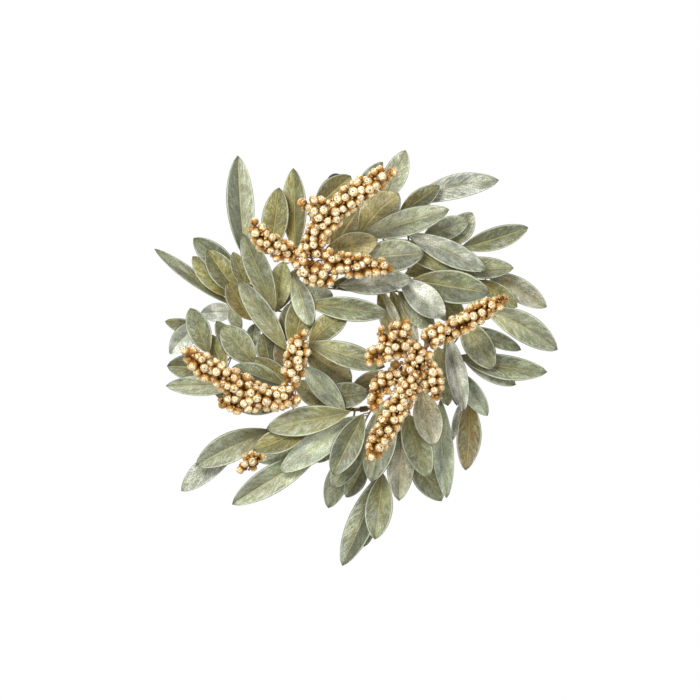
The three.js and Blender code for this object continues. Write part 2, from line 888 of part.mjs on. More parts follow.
// A pick or branch moves with the ring, along the radius at its slot
function onTheRing(drawing) {
  const slot = drawing.slot ?? drawn.find((d) => d.name === drawing.leader).slot;
  const { x, z } = onRing(slotAngle(slot), ringRadius - planRadius, 0);
  const moved = (route) => route.map(([routeX, routeZ]) => [routeX + x, routeZ + z]);
  const movedLeaf = ({ baseX, baseZ, tipX, tipZ, width, bow }) =>
    leaf(baseX + x, baseZ + z, tipX + x, tipZ + z, width, bow);
  return {
    ...drawing,
    stem: drawing.stem && moved(drawing.stem),
    strands: drawing.strands?.map(moved),
    leaves: drawing.leaves?.map(movedLeaf),
  };
}

const makings = drawn.map(onTheRing);
const wreath = new THREE.Group();

function add(name, geometry, material) {
  const mesh = new THREE.Mesh(geometry, material);
  mesh.name = name;
  wreath.add(mesh);
}

add("ring_wire", ringSolid(), wireBrown);
add("hanging_loop", loopSolid(), wireBlack);

// Layers are settled in the order of the list, then the branches are made, leaders first
const branchLayers = new Map();
for (const making of makings) {
  if (making.leaves) {
    add(making.name, leafPick(making), making.material);
    continue;
  }
  const discs = branchDiscs(making);
  const group = making.leader ?? making.name;
  const layer = Math.max(freeLayer(discs, group), branchLayers.get(group) ?? 0);
  branchLayers.set(making.name, layer);
  const height = 2 * (making.reach + berryRadius) + seatGap;
  for (const disc of discs) {
    disc.top = layerOf(layerDepth(layer, disc.x, disc.z) + height, disc.x, disc.z);
  }
  lay(discs, group);
}

const branches = makings.filter((m) => m.strands);
const leaders = branches.filter((b) => b.slot !== undefined);
const wirePoints = new Map();
for (const branch of [...leaders, ...branches.filter((b) => b.leader)]) {
  const { wires } = branchWires(branch, branchLayers.get(branch.name), wirePoints.get(branch.leader));
  const points = wires.flatMap(wirePath);
  wirePoints.set(branch.name, points);
  for (const centre of points) {
    berriesLaid.push({ centre, radius: stemWire / 2 + seatGap, branch: branch.name, wire: true });
  }
}
for (const branch of branches) {
  const layer = branchLayers.get(branch.name);
  add(branch.name, berryBranch(branch, layer, wirePoints.get(branch.leader)), branch.material);
}

for (const making of makings.filter((m) => m.slot !== undefined)) {
  const name = making.name.replace(/^(leaf_pick|berry_branch)/, "tape");
  add(name.concat(making.leaves ? "_leaves" : "_berries"), tapeSleeve(making.slot), tapeBrown);
}

// The inside of the loop's top becomes the origin
const loopTop = onRing(loopAngle, ringRadius + loopReach, loopWire / 2);
wreath.position.copy(loopTop).negate();
const part = new THREE.Group();
part.add(wreath);

export default part;
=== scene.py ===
import math
import random

import bmesh
import bpy
from mathutils import Matrix, Vector
from mathutils.geometry import interpolate_bezier


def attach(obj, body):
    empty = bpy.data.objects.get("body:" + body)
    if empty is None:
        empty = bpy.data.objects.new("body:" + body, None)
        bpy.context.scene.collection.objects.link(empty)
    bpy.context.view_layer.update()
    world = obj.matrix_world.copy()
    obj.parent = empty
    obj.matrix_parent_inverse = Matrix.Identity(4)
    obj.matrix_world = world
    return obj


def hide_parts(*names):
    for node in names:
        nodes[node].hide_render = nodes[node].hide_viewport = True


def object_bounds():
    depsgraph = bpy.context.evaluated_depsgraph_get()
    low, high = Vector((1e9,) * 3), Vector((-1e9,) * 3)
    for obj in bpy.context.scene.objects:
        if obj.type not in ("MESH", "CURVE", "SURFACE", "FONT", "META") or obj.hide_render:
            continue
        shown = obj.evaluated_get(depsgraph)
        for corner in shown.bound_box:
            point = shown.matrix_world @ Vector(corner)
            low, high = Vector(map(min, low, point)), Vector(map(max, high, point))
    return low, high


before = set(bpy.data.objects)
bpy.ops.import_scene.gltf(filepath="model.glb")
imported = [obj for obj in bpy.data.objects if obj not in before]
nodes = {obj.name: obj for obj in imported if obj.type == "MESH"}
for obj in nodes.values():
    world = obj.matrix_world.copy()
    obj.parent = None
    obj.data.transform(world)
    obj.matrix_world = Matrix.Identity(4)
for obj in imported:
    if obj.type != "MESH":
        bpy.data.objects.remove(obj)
cadLow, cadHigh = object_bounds()
scene = bpy.context.scene
rng = random.Random(26)
mm = 0.001
tiny = 1e-6

# The wreath is drawn in millimetres from the middle of its ring, and depth counts from the wall
layout = {"ringX": 20.108, "ringZ": -163.77, "wall": 1.3}
ring = {
    "radius": 72, "depth": 8, "wire": 4, "slots": 26, "firstAngle": 97,
    "sides": 14, "steps": 120,
}
layers = {
    "first": 16.68, "pitch": 3.5, "slope": 0.08,
    "slopeStep": 0.045,  # each layer is dished more than the one behind it
    "drop": 0.0011, "blend": 30,
}


def place(x, z, depth):
    return Vector((x + layout["ringX"], layout["wall"] - depth, z + layout["ringZ"])) * mm


def onRing(angle, radius, depth):
    turn = math.radians(angle)
    return place(radius * math.cos(turn), radius * math.sin(turn), depth)


def slotAngle(slot):
    return ring["firstAngle"] - slot * 360 / ring["slots"]


# A random amount to either side
def either(most):
    return rng.uniform(-most, most)


def arcDegrees(length):
    return math.degrees(length / ring["radius"])


def spreadAt(x, z):
    away = math.hypot(x, z) - ring["radius"]
    return math.hypot(away, layers["blend"]) - layers["blend"]


# Leaves lie on dished layers, one in front of the other
def layerDepth(layer, x, z):
    spread = spreadAt(x, z)
    slope = layers["slope"] + layer * layers["slopeStep"] - layers["drop"] * spread
    return layers["first"] + layer * layers["pitch"] + slope * spread


def layerOf(depth, x, z):
    spread = spreadAt(x, z)
    flat = layers["first"] + (layers["slope"] - layers["drop"] * spread) * spread
    return (depth - flat) / (layers["pitch"] + layers["slopeStep"] * spread)


def planOf(point):
    x, z = point.x / mm - layout["ringX"], point.z / mm - layout["ringZ"]
    return x, z, layout["wall"] - point.y / mm


# The layer on which the CAD node lies at a point, from its corners there
def cadLayer(cad, x, z, within, lift=0):
    corners = [planOf(v.co) for v in nodes[cad].data.vertices]
    near = sorted(corners, key=lambda c: math.hypot(c[0] - x, c[1] - z))
    close = [c for c in near if math.hypot(c[0] - x, c[1] - z) < within] or near[:1]
    found = sorted(layerOf(c[2] - lift, c[0], c[1]) for c in close)
    return found[len(found) // 2]


# Colours are picked as sRGB and used as linear values
def paint(red, green, blue):
    def linear(value):
        share = value / 255
        return share / 12.92 if share <= 0.04045 else ((share + 0.055) / 1.055) ** 2.4

    return (linear(red), linear(green), linear(blue), 1)


# Small helpers for node trees
def newMaterial(name):
    material = bpy.data.materials.new(name)
    material.use_nodes = True
    return material, material.node_tree, material.node_tree.nodes["Principled BSDF"]


def node(tree, kind, **values):
    made = tree.nodes.new(kind)
    for key, value in values.items():
        setattr(made, key, value)
    return made


def feed(socket, source):
    if isinstance(source, bpy.types.NodeSocket):
        socket.id_data.links.new(source, socket)
    else:
        socket.default_value = source


def maths(operation, *sources):
    made = node(sources[0].id_data, "ShaderNodeMath", operation=operation)
    for socket, source in zip(made.inputs, sources):
        feed(socket, source)
    return made.outputs[0]


def times(first, second):
    return maths("MULTIPLY", first, second)


def ramp(value, low, high, toLow=0, toHigh=1):
    made = node(value.id_data, "ShaderNodeMapRange", interpolation_type="SMOOTHSTEP")
    for socket, source in zip(made.inputs, (value, low, high, toLow, toHigh)):
        feed(socket, source)
    return made.outputs[0]


def blend(tree, share, first, second, kind="MIX"):
    made = node(tree, "ShaderNodeMix", data_type="RGBA", blend_type=kind)
    feed(made.inputs["Factor"], share)
    feed(made.inputs["A"], first)
    feed(made.inputs["B"], second)
    return made.outputs["Result"]


def bump(height, strength, distance):
    made = node(height.id_data, "ShaderNodeBump")
    made.inputs["Strength"].default_value = strength
    made.inputs["Distance"].default_value = distance
    feed(made.inputs["Height"], height)
    return made.outputs["Normal"]


def dress(shader, colour, rough, metal, relief):
    values = {"Base Color": colour, "Roughness": rough, "Metallic": metal, "Normal": relief}
    for name, value in values.items():
        feed(shader.inputs[name], value)


# The three parts of an attribute's colour, and its alpha
def readMarks(tree, name):
    marks = node(tree, "ShaderNodeAttribute", attribute_name=name)
    parts = node(tree, "ShaderNodeSeparateColor")
    feed(parts.inputs[0], marks.outputs["Color"])
    return [*parts.outputs, marks.outputs["Alpha"]]


grainDetail = {"Fine": 3, "Patch": 4}


# Fine dust and broad patches, shared by every finish
def makeGrainGroup():
    group = bpy.data.node_groups.new("surfaceGrain", "ShaderNodeTree")
    sockets = group.interface
    sockets.new_socket("Place", in_out="INPUT", socket_type="NodeSocketVector")
    for name in grainDetail:
        sockets.new_socket(name + " Scale", in_out="INPUT", socket_type="NodeSocketFloat")
        sockets.new_socket(name, in_out="OUTPUT", socket_type="NodeSocketFloat")
    source = node(group, "NodeGroupInput")
    target = node(group, "NodeGroupOutput")
    for name, detail in grainDetail.items():
        noise = node(group, "ShaderNodeTexNoise")
        noise.inputs["Detail"].default_value = detail
        feed(noise.inputs["Vector"], source.outputs["Place"])
        feed(noise.inputs["Scale"], source.outputs[name + " Scale"])
        feed(target.inputs[name], noise.outputs["Fac"])
    return group


grainGroup = makeGrainGroup()


def grain(tree, fine, patch):
    made = node(tree, "ShaderNodeGroup", node_tree=grainGroup)
    feed(made.inputs["Place"], node(tree, "ShaderNodeTexCoord").outputs["Object"])
    made.inputs["Fine Scale"].default_value = fine
    made.inputs["Patch Scale"].default_value = patch
    return made.outputs


leafFinish = {
    "cool": paint(148, 158, 140),  # towards the tip
    "moss": paint(150, 166, 112),
    "slate": paint(150, 156, 150),
    "ochre": paint(142, 122, 44),  # near the stalk
    "copper": paint(146, 106, 62),  # brown fibres
    "frost": paint(214, 219, 200),
    # gleam: a painted highlight on silvery leaves
    "paintedGleam": paint(244, 244, 236),
    # shadeHalf: painted shade on one half of a leaf
    "shadeHalf": paint(62, 68, 54),
    "rib": paint(190, 186, 140),
    "rim": paint(226, 230, 204),
    # edge: a dark line along the margin, painted shade
    "edge": paint(58, 62, 44),
    "tip": paint(66, 68, 50),
    "gleamShare": 0.7, "halfShare": 1.5, "ribShare": 0.4,
    "rimShare": 0.6, "edgeShare": 0.75, "tipShare": 0.7,
    "driftByMottle": (-0.45, 0.66), "stalkByMottle": (0.75, 0.25),  # factor and start
    "frostBySheen": (0.75, 0.14),
    "fine": 950, "patch": 60, "noiseRough": 0.6,
    "noiseApart": 60,  # no two leaves share a place in the noise
    "sideVeins": 15, "veinSlant": 3.6, "veinWander": 1.6,
    "sheenGloss": 0.16, "gleamMetal": 0.25, "gloss": 0.25,
    "veinHeight": -1.7, "ribDepth": 1.3, "dustHeight": 0.4, "fibreHeight": 1.6,
    "relief": 0.7, "reliefDepth": 0.0007,
}
# Noise on each leaf, drawn out along it, across it or along its side veins
leafNoises = {
    "streak": {"along": 2.4, "side": 8, "scale": 1.6, "detail": 6},
    "fibre": {"along": 9, "side": 3.5, "scale": 1.7, "detail": 6, "slant": 1.6},
    "patch": {"along": 3, "side": 1.5, "scale": 1.1, "detail": 1.5},
    "drift": {"along": 2, "side": 2.2, "scale": 1.5, "detail": 2, "start": 7},
}
# Where each mask starts and ends, and its values there if they aren't 0 and 1
leafMasks = {
    "veinLine": (0.3, 0),
    "midrib": (0.09, 0.02),
    "rimInner": (0.84, 0.93),
    "rimOuter": (0.985, 0.95),
    # the dark edge line of painted shade
    "edge": (0.955, 0.99),
    "tip": (0.93, 1),
    "coolTip": (0.3, 0.95),
    "coolMottle": (0.9, 0.4, 0.05, 0.32),
    "mossDrift": (0.5, 0.68),
    "slateDrift": (0.48, 0.32),
    "stalkEnd": (0.6, 0.05),
    "stalkRib": (0.5, 0, 0, 0.6),
    "stalkStreak": (0.36, 0.6),
    "brownFibre": (0.5, 0.66),
    "brownStreak": (0.42, 0.6),
    "frostFibre": (0.58, 0.36),
    "frostRim": (0, 0.7, 0.35, 1),
    "frostTip": (0.05, 0.55, 0.3, 1),
    # where the painted highlight lies
    "gleamPatch": (0.36, 0.7),
    "gleamSheen": (0.55, 0.95),
    # which half gets the painted shade
    "half": (0, 0.012),
    "dustTone": (0.36, 0.64, 0.74, 1.22),
    "fibreTone": (0.36, 0.64, 1.07, 0.93),
    "patchTone": (0.34, 0.66, 0.8, 1.2),
    "rough": (0.25, 0.75, 0.42, 0.62),
}


# Leaf skin: tint and look come from each leaf, ribs, rim and fibres from its own map
def makeLeafSkin():
    material, tree, shader = newMaterial("leafSkin")
    look = leafFinish
    tint = node(tree, "ShaderNodeAttribute", attribute_name="leafTint")
    sheen, half, veins, mottle = readMarks(tree, "leafLook")
    leafMap = node(tree, "ShaderNodeUVMap", uv_map="leafMap")
    split = node(tree, "ShaderNodeSeparateXYZ")
    feed(split.inputs[0], leafMap.outputs[0])
    along, side = split.outputs[0], maths("SUBTRACT", split.outputs[1], 0.5)
    across = times(maths("ABSOLUTE", side), 2)
    speck = grain(tree, look["fine"], look["patch"])

    def leafNoise(kind):
        ahead = maths("MULTIPLY_ADD", along, kind["along"], kind.get("start", 0))
        if "slant" in kind:
            ahead = maths("SUBTRACT", ahead, times(across, kind["slant"]))
        where = node(tree, "ShaderNodeCombineXYZ")
        feed(where.inputs[0], ahead)
        feed(where.inputs[1], times(side, kind["side"]))
        feed(where.inputs[2], times(tint.outputs["Alpha"], look["noiseApart"]))
        noise = node(tree, "ShaderNodeTexNoise")
        noise.inputs["Scale"].default_value = kind["scale"]
        noise.inputs["Detail"].default_value = kind["detail"]
        noise.inputs["Roughness"].default_value = look["noiseRough"]
        feed(noise.inputs["Vector"], where.outputs[0])
        return noise.outputs["Fac"]

    def mask(value, name, *ends):
        return ramp(value, *leafMasks[name], *ends)

    # one of the finish's colours over what is there
    def lay(colour, share, name):
        return blend(tree, share, colour, look[name])

    streak, fibre, patch, drift = (leafNoise(kind) for kind in leafNoises.values())
    # side veins slant from the midrib to the rim
    phase = times(along, look["sideVeins"])
    phase = maths("SUBTRACT", phase, times(across, look["veinSlant"]))
    phase = maths("ADD", phase, times(streak, look["veinWander"]))
    wave = maths("ABSOLUTE", maths("SINE", times(phase, math.pi)))
    veinLine = times(mask(wave, "veinLine"), veins)
    midrib = mask(across, "midrib")
    rim = times(mask(across, "rimInner"), mask(across, "rimOuter"))
    # cooler towards the tip, with moss and slate where the leaf is little mottled
    coolness = times(mask(along, "coolTip"), mask(mottle, "coolMottle"))
    colour = lay(tint.outputs["Color"], coolness, "cool")
    drifted = maths("MULTIPLY_ADD", mottle, *look["driftByMottle"])
    colour = lay(colour, mask(drift, "mossDrift", 0, drifted), "moss")
    colour = lay(colour, mask(drift, "slateDrift", 0, drifted), "slate")
    # ochre by the stalk and the midrib, brown fibres
    stalk = maths("MAXIMUM", mask(along, "stalkEnd"), mask(across, "stalkRib"))
    stalk = times(stalk, mask(streak, "stalkStreak"))
    stalk = times(stalk, maths("MULTIPLY_ADD", mottle, *look["stalkByMottle"]))
    colour = lay(colour, stalk, "ochre")
    brown = times(mask(fibre, "brownFibre"), mask(streak, "brownStreak"))
    colour = lay(colour, times(brown, mottle), "copper")
    # frost towards the rim and the tip, and a painted highlight, the gleam, on silvery leaves
    frost = times(mask(fibre, "frostFibre"), mask(across, "frostRim"))
    frost = times(frost, mask(along, "frostTip"))
    frost = times(frost, maths("MULTIPLY_ADD", sheen, *look["frostBySheen"]))
    colour = lay(colour, frost, "frost")
    paintedGleam = times(mask(patch, "gleamPatch"), mask(sheen, "gleamSheen"))
    colour = lay(colour, times(paintedGleam, look["gleamShare"]), "paintedGleam")
    # painted shade: one half is darker, as if turned from the light, on some leaves more than
    # on others
    lean = maths("SUBTRACT", half, 0.5)
    halfTone = times(maths("ABSOLUTE", lean), look["halfShare"])
    paintedShadeHalf = times(mask(times(lean, side), "half"), halfTone)
    colour = lay(colour, paintedShadeHalf, "shadeHalf")
    # dust, veins, rib, rim and tip, and a dark line at the very edge, which is painted shade
    dust = times(mask(speck["Fine"], "dustTone"), mask(fibre, "fibreTone"))
    dust = times(dust, mask(patch, "patchTone"))
    dustTone = node(tree, "ShaderNodeCombineColor")
    for socket in dustTone.inputs[:3]:
        feed(socket, dust)
    colour = blend(tree, 1, colour, dustTone.outputs[0], "MULTIPLY")
    for drawn, name in (
        (veinLine, "rib"), (midrib, "rib"), (rim, "rim"),
        (mask(across, "edge"), "edge"), (mask(along, "tip"), "tip"),
    ):
        colour = lay(colour, times(drawn, look[name + "Share"]), name)
    rough = mask(speck["Fine"], "rough")
    rough = maths("SUBTRACT", rough, times(sheen, look["sheenGloss"]))
    shader.inputs["Specular IOR Level"].default_value = look["gloss"]
    height = times(veinLine, look["veinHeight"])
    height = maths("SUBTRACT", height, times(midrib, look["ribDepth"]))
    height = maths("ADD", height, times(speck["Fine"], look["dustHeight"]))
    height = maths("ADD", height, times(fibre, look["fibreHeight"]))
    relief = bump(height, look["relief"], look["reliefDepth"])
    dress(shader, colour, rough, times(paintedGleam, look["gleamMetal"]), relief)
    return material


berryFinish = {
    "gold": paint(196, 150, 74),
    "pale": paint(248, 226, 174),
    "copper": paint(172, 122, 56),
    "pip": paint(54, 34, 14),
    # spark: white of the painted glints
    "spark": paint(255, 250, 232),
    "fine": 820, "patch": 420, "shadeShare": 0.5, "metal": 0.4, "dustHeight": 0.6,
    "relief": 0.9, "reliefDepth": 0.0014,
}
berryMasks = {
    "paleCrinkle": (0.58, 0.42, 0.2, 0.6),
    # painted highlight towards the outer end, painted shade towards the shank; wires are copper
    # all along
    "paintedHighlightEnd": (0.45, 0.12),
    "copperCrinkle": (0.54, 0.68, 0, 0.6),
    "copperShankAndFootShade": (0.3, 0.75),
    "paintedGlintSpeck": (0.5, 0.6),
    "sparkEnd": (0.4, 0.12),
    "pip": (0.55, 0.78),
    "rough": (0.3, 0.7, 0.16, 0.34),
}


# Berry skin: a metallic coat, crinkled, with a dark pip at the outer end
def makeBerrySkin():
    material, tree, shader = newMaterial("berrySkin")
    look = berryFinish
    pip, shade, shank, _ = readMarks(tree, "berryLook")
    speck = grain(tree, look["fine"], look["patch"])

    def mask(value, name):
        return ramp(value, *berryMasks[name])

    # painted highlight and shade: pale towards the outer end, gold on the sides, copper by the
    # shank, so that the gaps between berries look dark; the wires are copper all along, their
    # own colour
    crinkle = mask(speck["Patch"], "paleCrinkle")
    toneAndHighlight = maths("MULTIPLY_ADD", shade, look["shadeShare"], crinkle)
    toneAndHighlight = times(toneAndHighlight, mask(shank, "paintedHighlightEnd"))
    colour = blend(tree, toneAndHighlight, look["gold"], look["pale"])
    colour = blend(tree, mask(speck["Patch"], "copperCrinkle"), colour, look["copper"])
    colour = blend(tree, mask(shank, "copperShankAndFootShade"), colour, look["copper"])
    # painted glints: white specks, fewer towards the shank
    spark = times(mask(speck["Fine"], "paintedGlintSpeck"), mask(shank, "sparkEnd"))
    colour = blend(tree, spark, colour, look["spark"])
    colour = blend(tree, mask(pip, "pip"), colour, look["pip"])
    height = maths("ADD", speck["Patch"], times(speck["Fine"], look["dustHeight"]))
    relief = bump(height, look["relief"], look["reliefDepth"])
    dress(shader, colour, mask(speck["Fine"], "rough"), look["metal"], relief)
    return material


coats = {
    "stalkSkin": {
        "dark": paint(104, 92, 48), "light": paint(168, 150, 96),
        "rough": 0.5, "metal": 0, "fine": 1500, "patch": 160, "relief": 0.4,
    },
    "tapeSkin": {
        "dark": paint(96, 80, 46), "light": paint(138, 118, 74),
        "rough": 0.78, "metal": 0, "fine": 1800, "patch": 240, "relief": 0.7,
    },
    "ringSkin": {
        "dark": paint(84, 66, 42), "light": paint(126, 102, 70),
        "rough": 0.5, "metal": 0.3, "fine": 1400, "patch": 120, "relief": 0.3,
    },
    "loopSkin": {
        "dark": paint(18, 18, 18), "light": paint(44, 43, 42),
        "rough": 0.45, "metal": 0.4, "fine": 1600, "patch": 150, "relief": 0.25,
    },
}
coatGrain = {"tone": (0.35, 0.65), "dust": (0.3, 0.7), "roughSpread": 0.08, "depth": 0.0003}


# A plain coated or wrapped surface with grain in its colour, gloss and relief
def makeCoat(name):
    material, tree, shader = newMaterial(name)
    coat = coats[name]
    speck = grain(tree, coat["fine"], coat["patch"])
    share = times(maths("ADD", speck["Fine"], speck["Patch"]), 0.5)
    colour = blend(tree, ramp(share, *coatGrain["tone"]), coat["dark"], coat["light"])
    least = coat["rough"] - coatGrain["roughSpread"]
    most = coat["rough"] + coatGrain["roughSpread"]
    rough = ramp(speck["Fine"], *coatGrain["dust"], least, most)
    relief = bump(speck["Fine"], coat["relief"], coatGrain["depth"])
    dress(shader, colour, rough, coat["metal"], relief)
    return material


leafSkin = makeLeafSkin()
berrySkin = makeBerrySkin()
stalkSkin, tapeSkin, ringSkin, loopSkin = (makeCoat(name) for name in coats)
print("materials made")


# A route through some points, bending evenly at each
def smoothRoute(points, step):
    leads = [(b - a).normalized() for a, b in zip(points, points[1:])]
    aims = [leads[0]] + [(a + b).normalized() for a, b in zip(leads, leads[1:])] + [leads[-1]]
    route = []
    for a, b, aimA, aimB in zip(points, points[1:], aims, aims[1:]):
        third = (b - a).length / 3
        count = max(2, math.ceil((b - a).length / (step * mm)) + 1)
        route += interpolate_bezier(a, a + aimA * third, b - aimB * third, b, count)[:-1]
    return [Vector(p) for p in route] + [points[-1]]


def seatAt(spot, turn, radius):
    return Matrix.Translation(spot) @ turn.to_matrix().to_4x4() @ Matrix.Scale(radius * mm, 4)


# A wire along a route, extruded from a disc
def addWire(bm, route, radii, sides, skin=0):
    aims = [(b - a).normalized() for a, b in zip(route, route[1:])]
    aims.append(aims[-1])
    turn = aims[0].to_track_quat("Z", "Y")
    last = seatAt(route[0], turn, radii[0])
    disc = bmesh.ops.create_circle(
        bm, cap_ends=True, segments=sides, radius=1, matrix=last,
    )["verts"]
    face = disc[0].link_faces[0]
    face.material_index = skin
    verts = list(disc)
    for i in range(1, len(route)):
        turn = aims[i - 1].rotation_difference(aims[i]) @ turn
        there = seatAt(route[i], turn, radii[i])
        made = bmesh.ops.extrude_face_region(bm, geom=[face] + list(face.edges))["geom"]
        fresh = [g for g in made if isinstance(g, bmesh.types.BMVert)]
        face = next(g for g in made if isinstance(g, bmesh.types.BMFace))
        bmesh.ops.transform(bm, matrix=there @ last.inverted(), verts=fresh)
        verts += fresh
        last = there
    return verts


def addObject(name, bm, skins):
    mesh = bpy.data.meshes.new(name)
    bm.to_mesh(mesh)
    bm.free()
    for skin in skins:
        mesh.materials.append(skin)
    made = bpy.data.objects.new(name, mesh)
    scene.collection.objects.link(made)
    return made


def finishPiece(name, bm, skins, body, slot, *stoodFor, crease=1.05):
    bmesh.ops.recalc_face_normals(bm, faces=bm.faces)
    for face in bm.faces:
        face.smooth = True
    for edge in bm.edges:
        edge.smooth = edge.calc_face_angle(0) < crease
    piece = addObject(name, bm, skins)
    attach(piece, body)
    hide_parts(*stoodFor)


stem = {
    "wire": 2.4, "taper": 0.35, "tail": 11, "tailDepth": 11.5,
    "step": 4, "sides": 7, "near": 1.4,
}


# A stem lies along the ring under its tape, rises to its layer and runs on
def stemRoute(slot, plan, depthOf):
    angle = slotAngle(slot)
    half = arcDegrees(stem["tail"] / 2)
    foot = angle - 180 / ring["slots"]
    turns = (angle + half, angle, angle - half)
    points = [onRing(turn, ring["radius"], stem["tailDepth"]) for turn in turns]
    riserX, riserZ, _ = planOf(onRing(foot, ring["radius"], 0))
    top = depthOf(riserX, riserZ)
    if top - stem["tailDepth"] > 2 * stem["wire"]:
        points.append(onRing(foot, ring["radius"], (stem["tailDepth"] + top) / 2))
    bend = Vector((plan[0][0] - riserX, plan[0][1] - riserZ)).normalized() * stem["wire"]
    bends = [(riserX + bend.x, riserZ + bend.y)] + list(plan)
    return points + [place(x, z, depthOf(x, z)) for x, z in bends]


# What each leaf looks like: tint, sheen (gloss, frost and a painted highlight), veins and
# mottling
leafLooks = {
    "sage": {"tint": paint(150, 152, 110), "sheen": 0.3, "veins": 0.3, "mottle": 0.5},
    "pale": {"tint": paint(172, 176, 142), "sheen": 0.5, "veins": 0.3, "mottle": 0.4},
    "mint": {"tint": paint(196, 205, 176), "sheen": 0.55, "veins": 0.25, "mottle": 0.2},
    "silver": {"tint": paint(176, 178, 156), "sheen": 0.95, "veins": 0.6, "mottle": 0.3},
    "dark": {"tint": paint(110, 114, 78), "sheen": 0.2, "veins": 0.3, "mottle": 0.35},
    "foil": {"tint": paint(216, 220, 202), "sheen": 1, "veins": 0.7, "mottle": 0.1},
    "olive": {"tint": paint(140, 134, 72), "sheen": 0.2, "veins": 0.45, "mottle": 0.75},
    "deep": {"tint": paint(104, 96, 46), "sheen": 0.08, "veins": 0.45, "mottle": 0.6},
    "brown": {"tint": paint(124, 108, 66), "sheen": 0.14, "veins": 0.6, "mottle": 0.8},
    "pink": {"tint": paint(174, 168, 138), "sheen": 0.5, "veins": 0.2, "mottle": 0.6},
    "satin": {"tint": paint(162, 166, 148), "sheen": 0.7, "veins": 0.6, "mottle": 0.2},
    "lime": {"tint": paint(222, 222, 152), "sheen": 0.3, "veins": 0.3, "mottle": 0.3},
    "blush": {"tint": paint(208, 200, 170), "sheen": 0.5, "veins": 0.2, "mottle": 0.45},
    "tan": {"tint": paint(186, 172, 116), "sheen": 0.25, "veins": 0.35, "mottle": 0.7},
    "ochre": {"tint": paint(146, 128, 60), "sheen": 0.1, "veins": 0.5, "mottle": 0.8},
}
petiole = {
    "wire": 1.5, "taper": 0.3, "bend": 0.55,
    "into": 0.06,  # how far it runs on into the blade
    "step": 3, "sides": 6, "near": 0.01,
}
blade = {
    "along": 20, "across": 10, "thick": 0.6,
    "stalk": 1.6,  # width at the petiole
    "belly": 1.1, "fullness": 0.65, "usualWidth": 26, "fold": 1.9,
    "foldSpread": (0.5, 1.15), "foldPower": 1.1, "roll": 0.9, "wave": 0.4, "waves": 9,
    "wavePhase": (0, 6.28), "curl": (-1.2, 2.2), "curlFrom": 0.6, "curlRise": 6.25,
    "toneSpread": (0.9, 1.1), "halfSpread": 0.78,
}


def leaf(baseX, baseZ, tipX, tipZ, width, look, **more):
    return {"base": (baseX, baseZ), "tip": (tipX, tipZ), "width": width, "look": look, **more}


def leafPick(slot, finish, plan, *leaves):
    return {"slot": slot, "finish": finish, "stem": plan, "leaves": leaves}


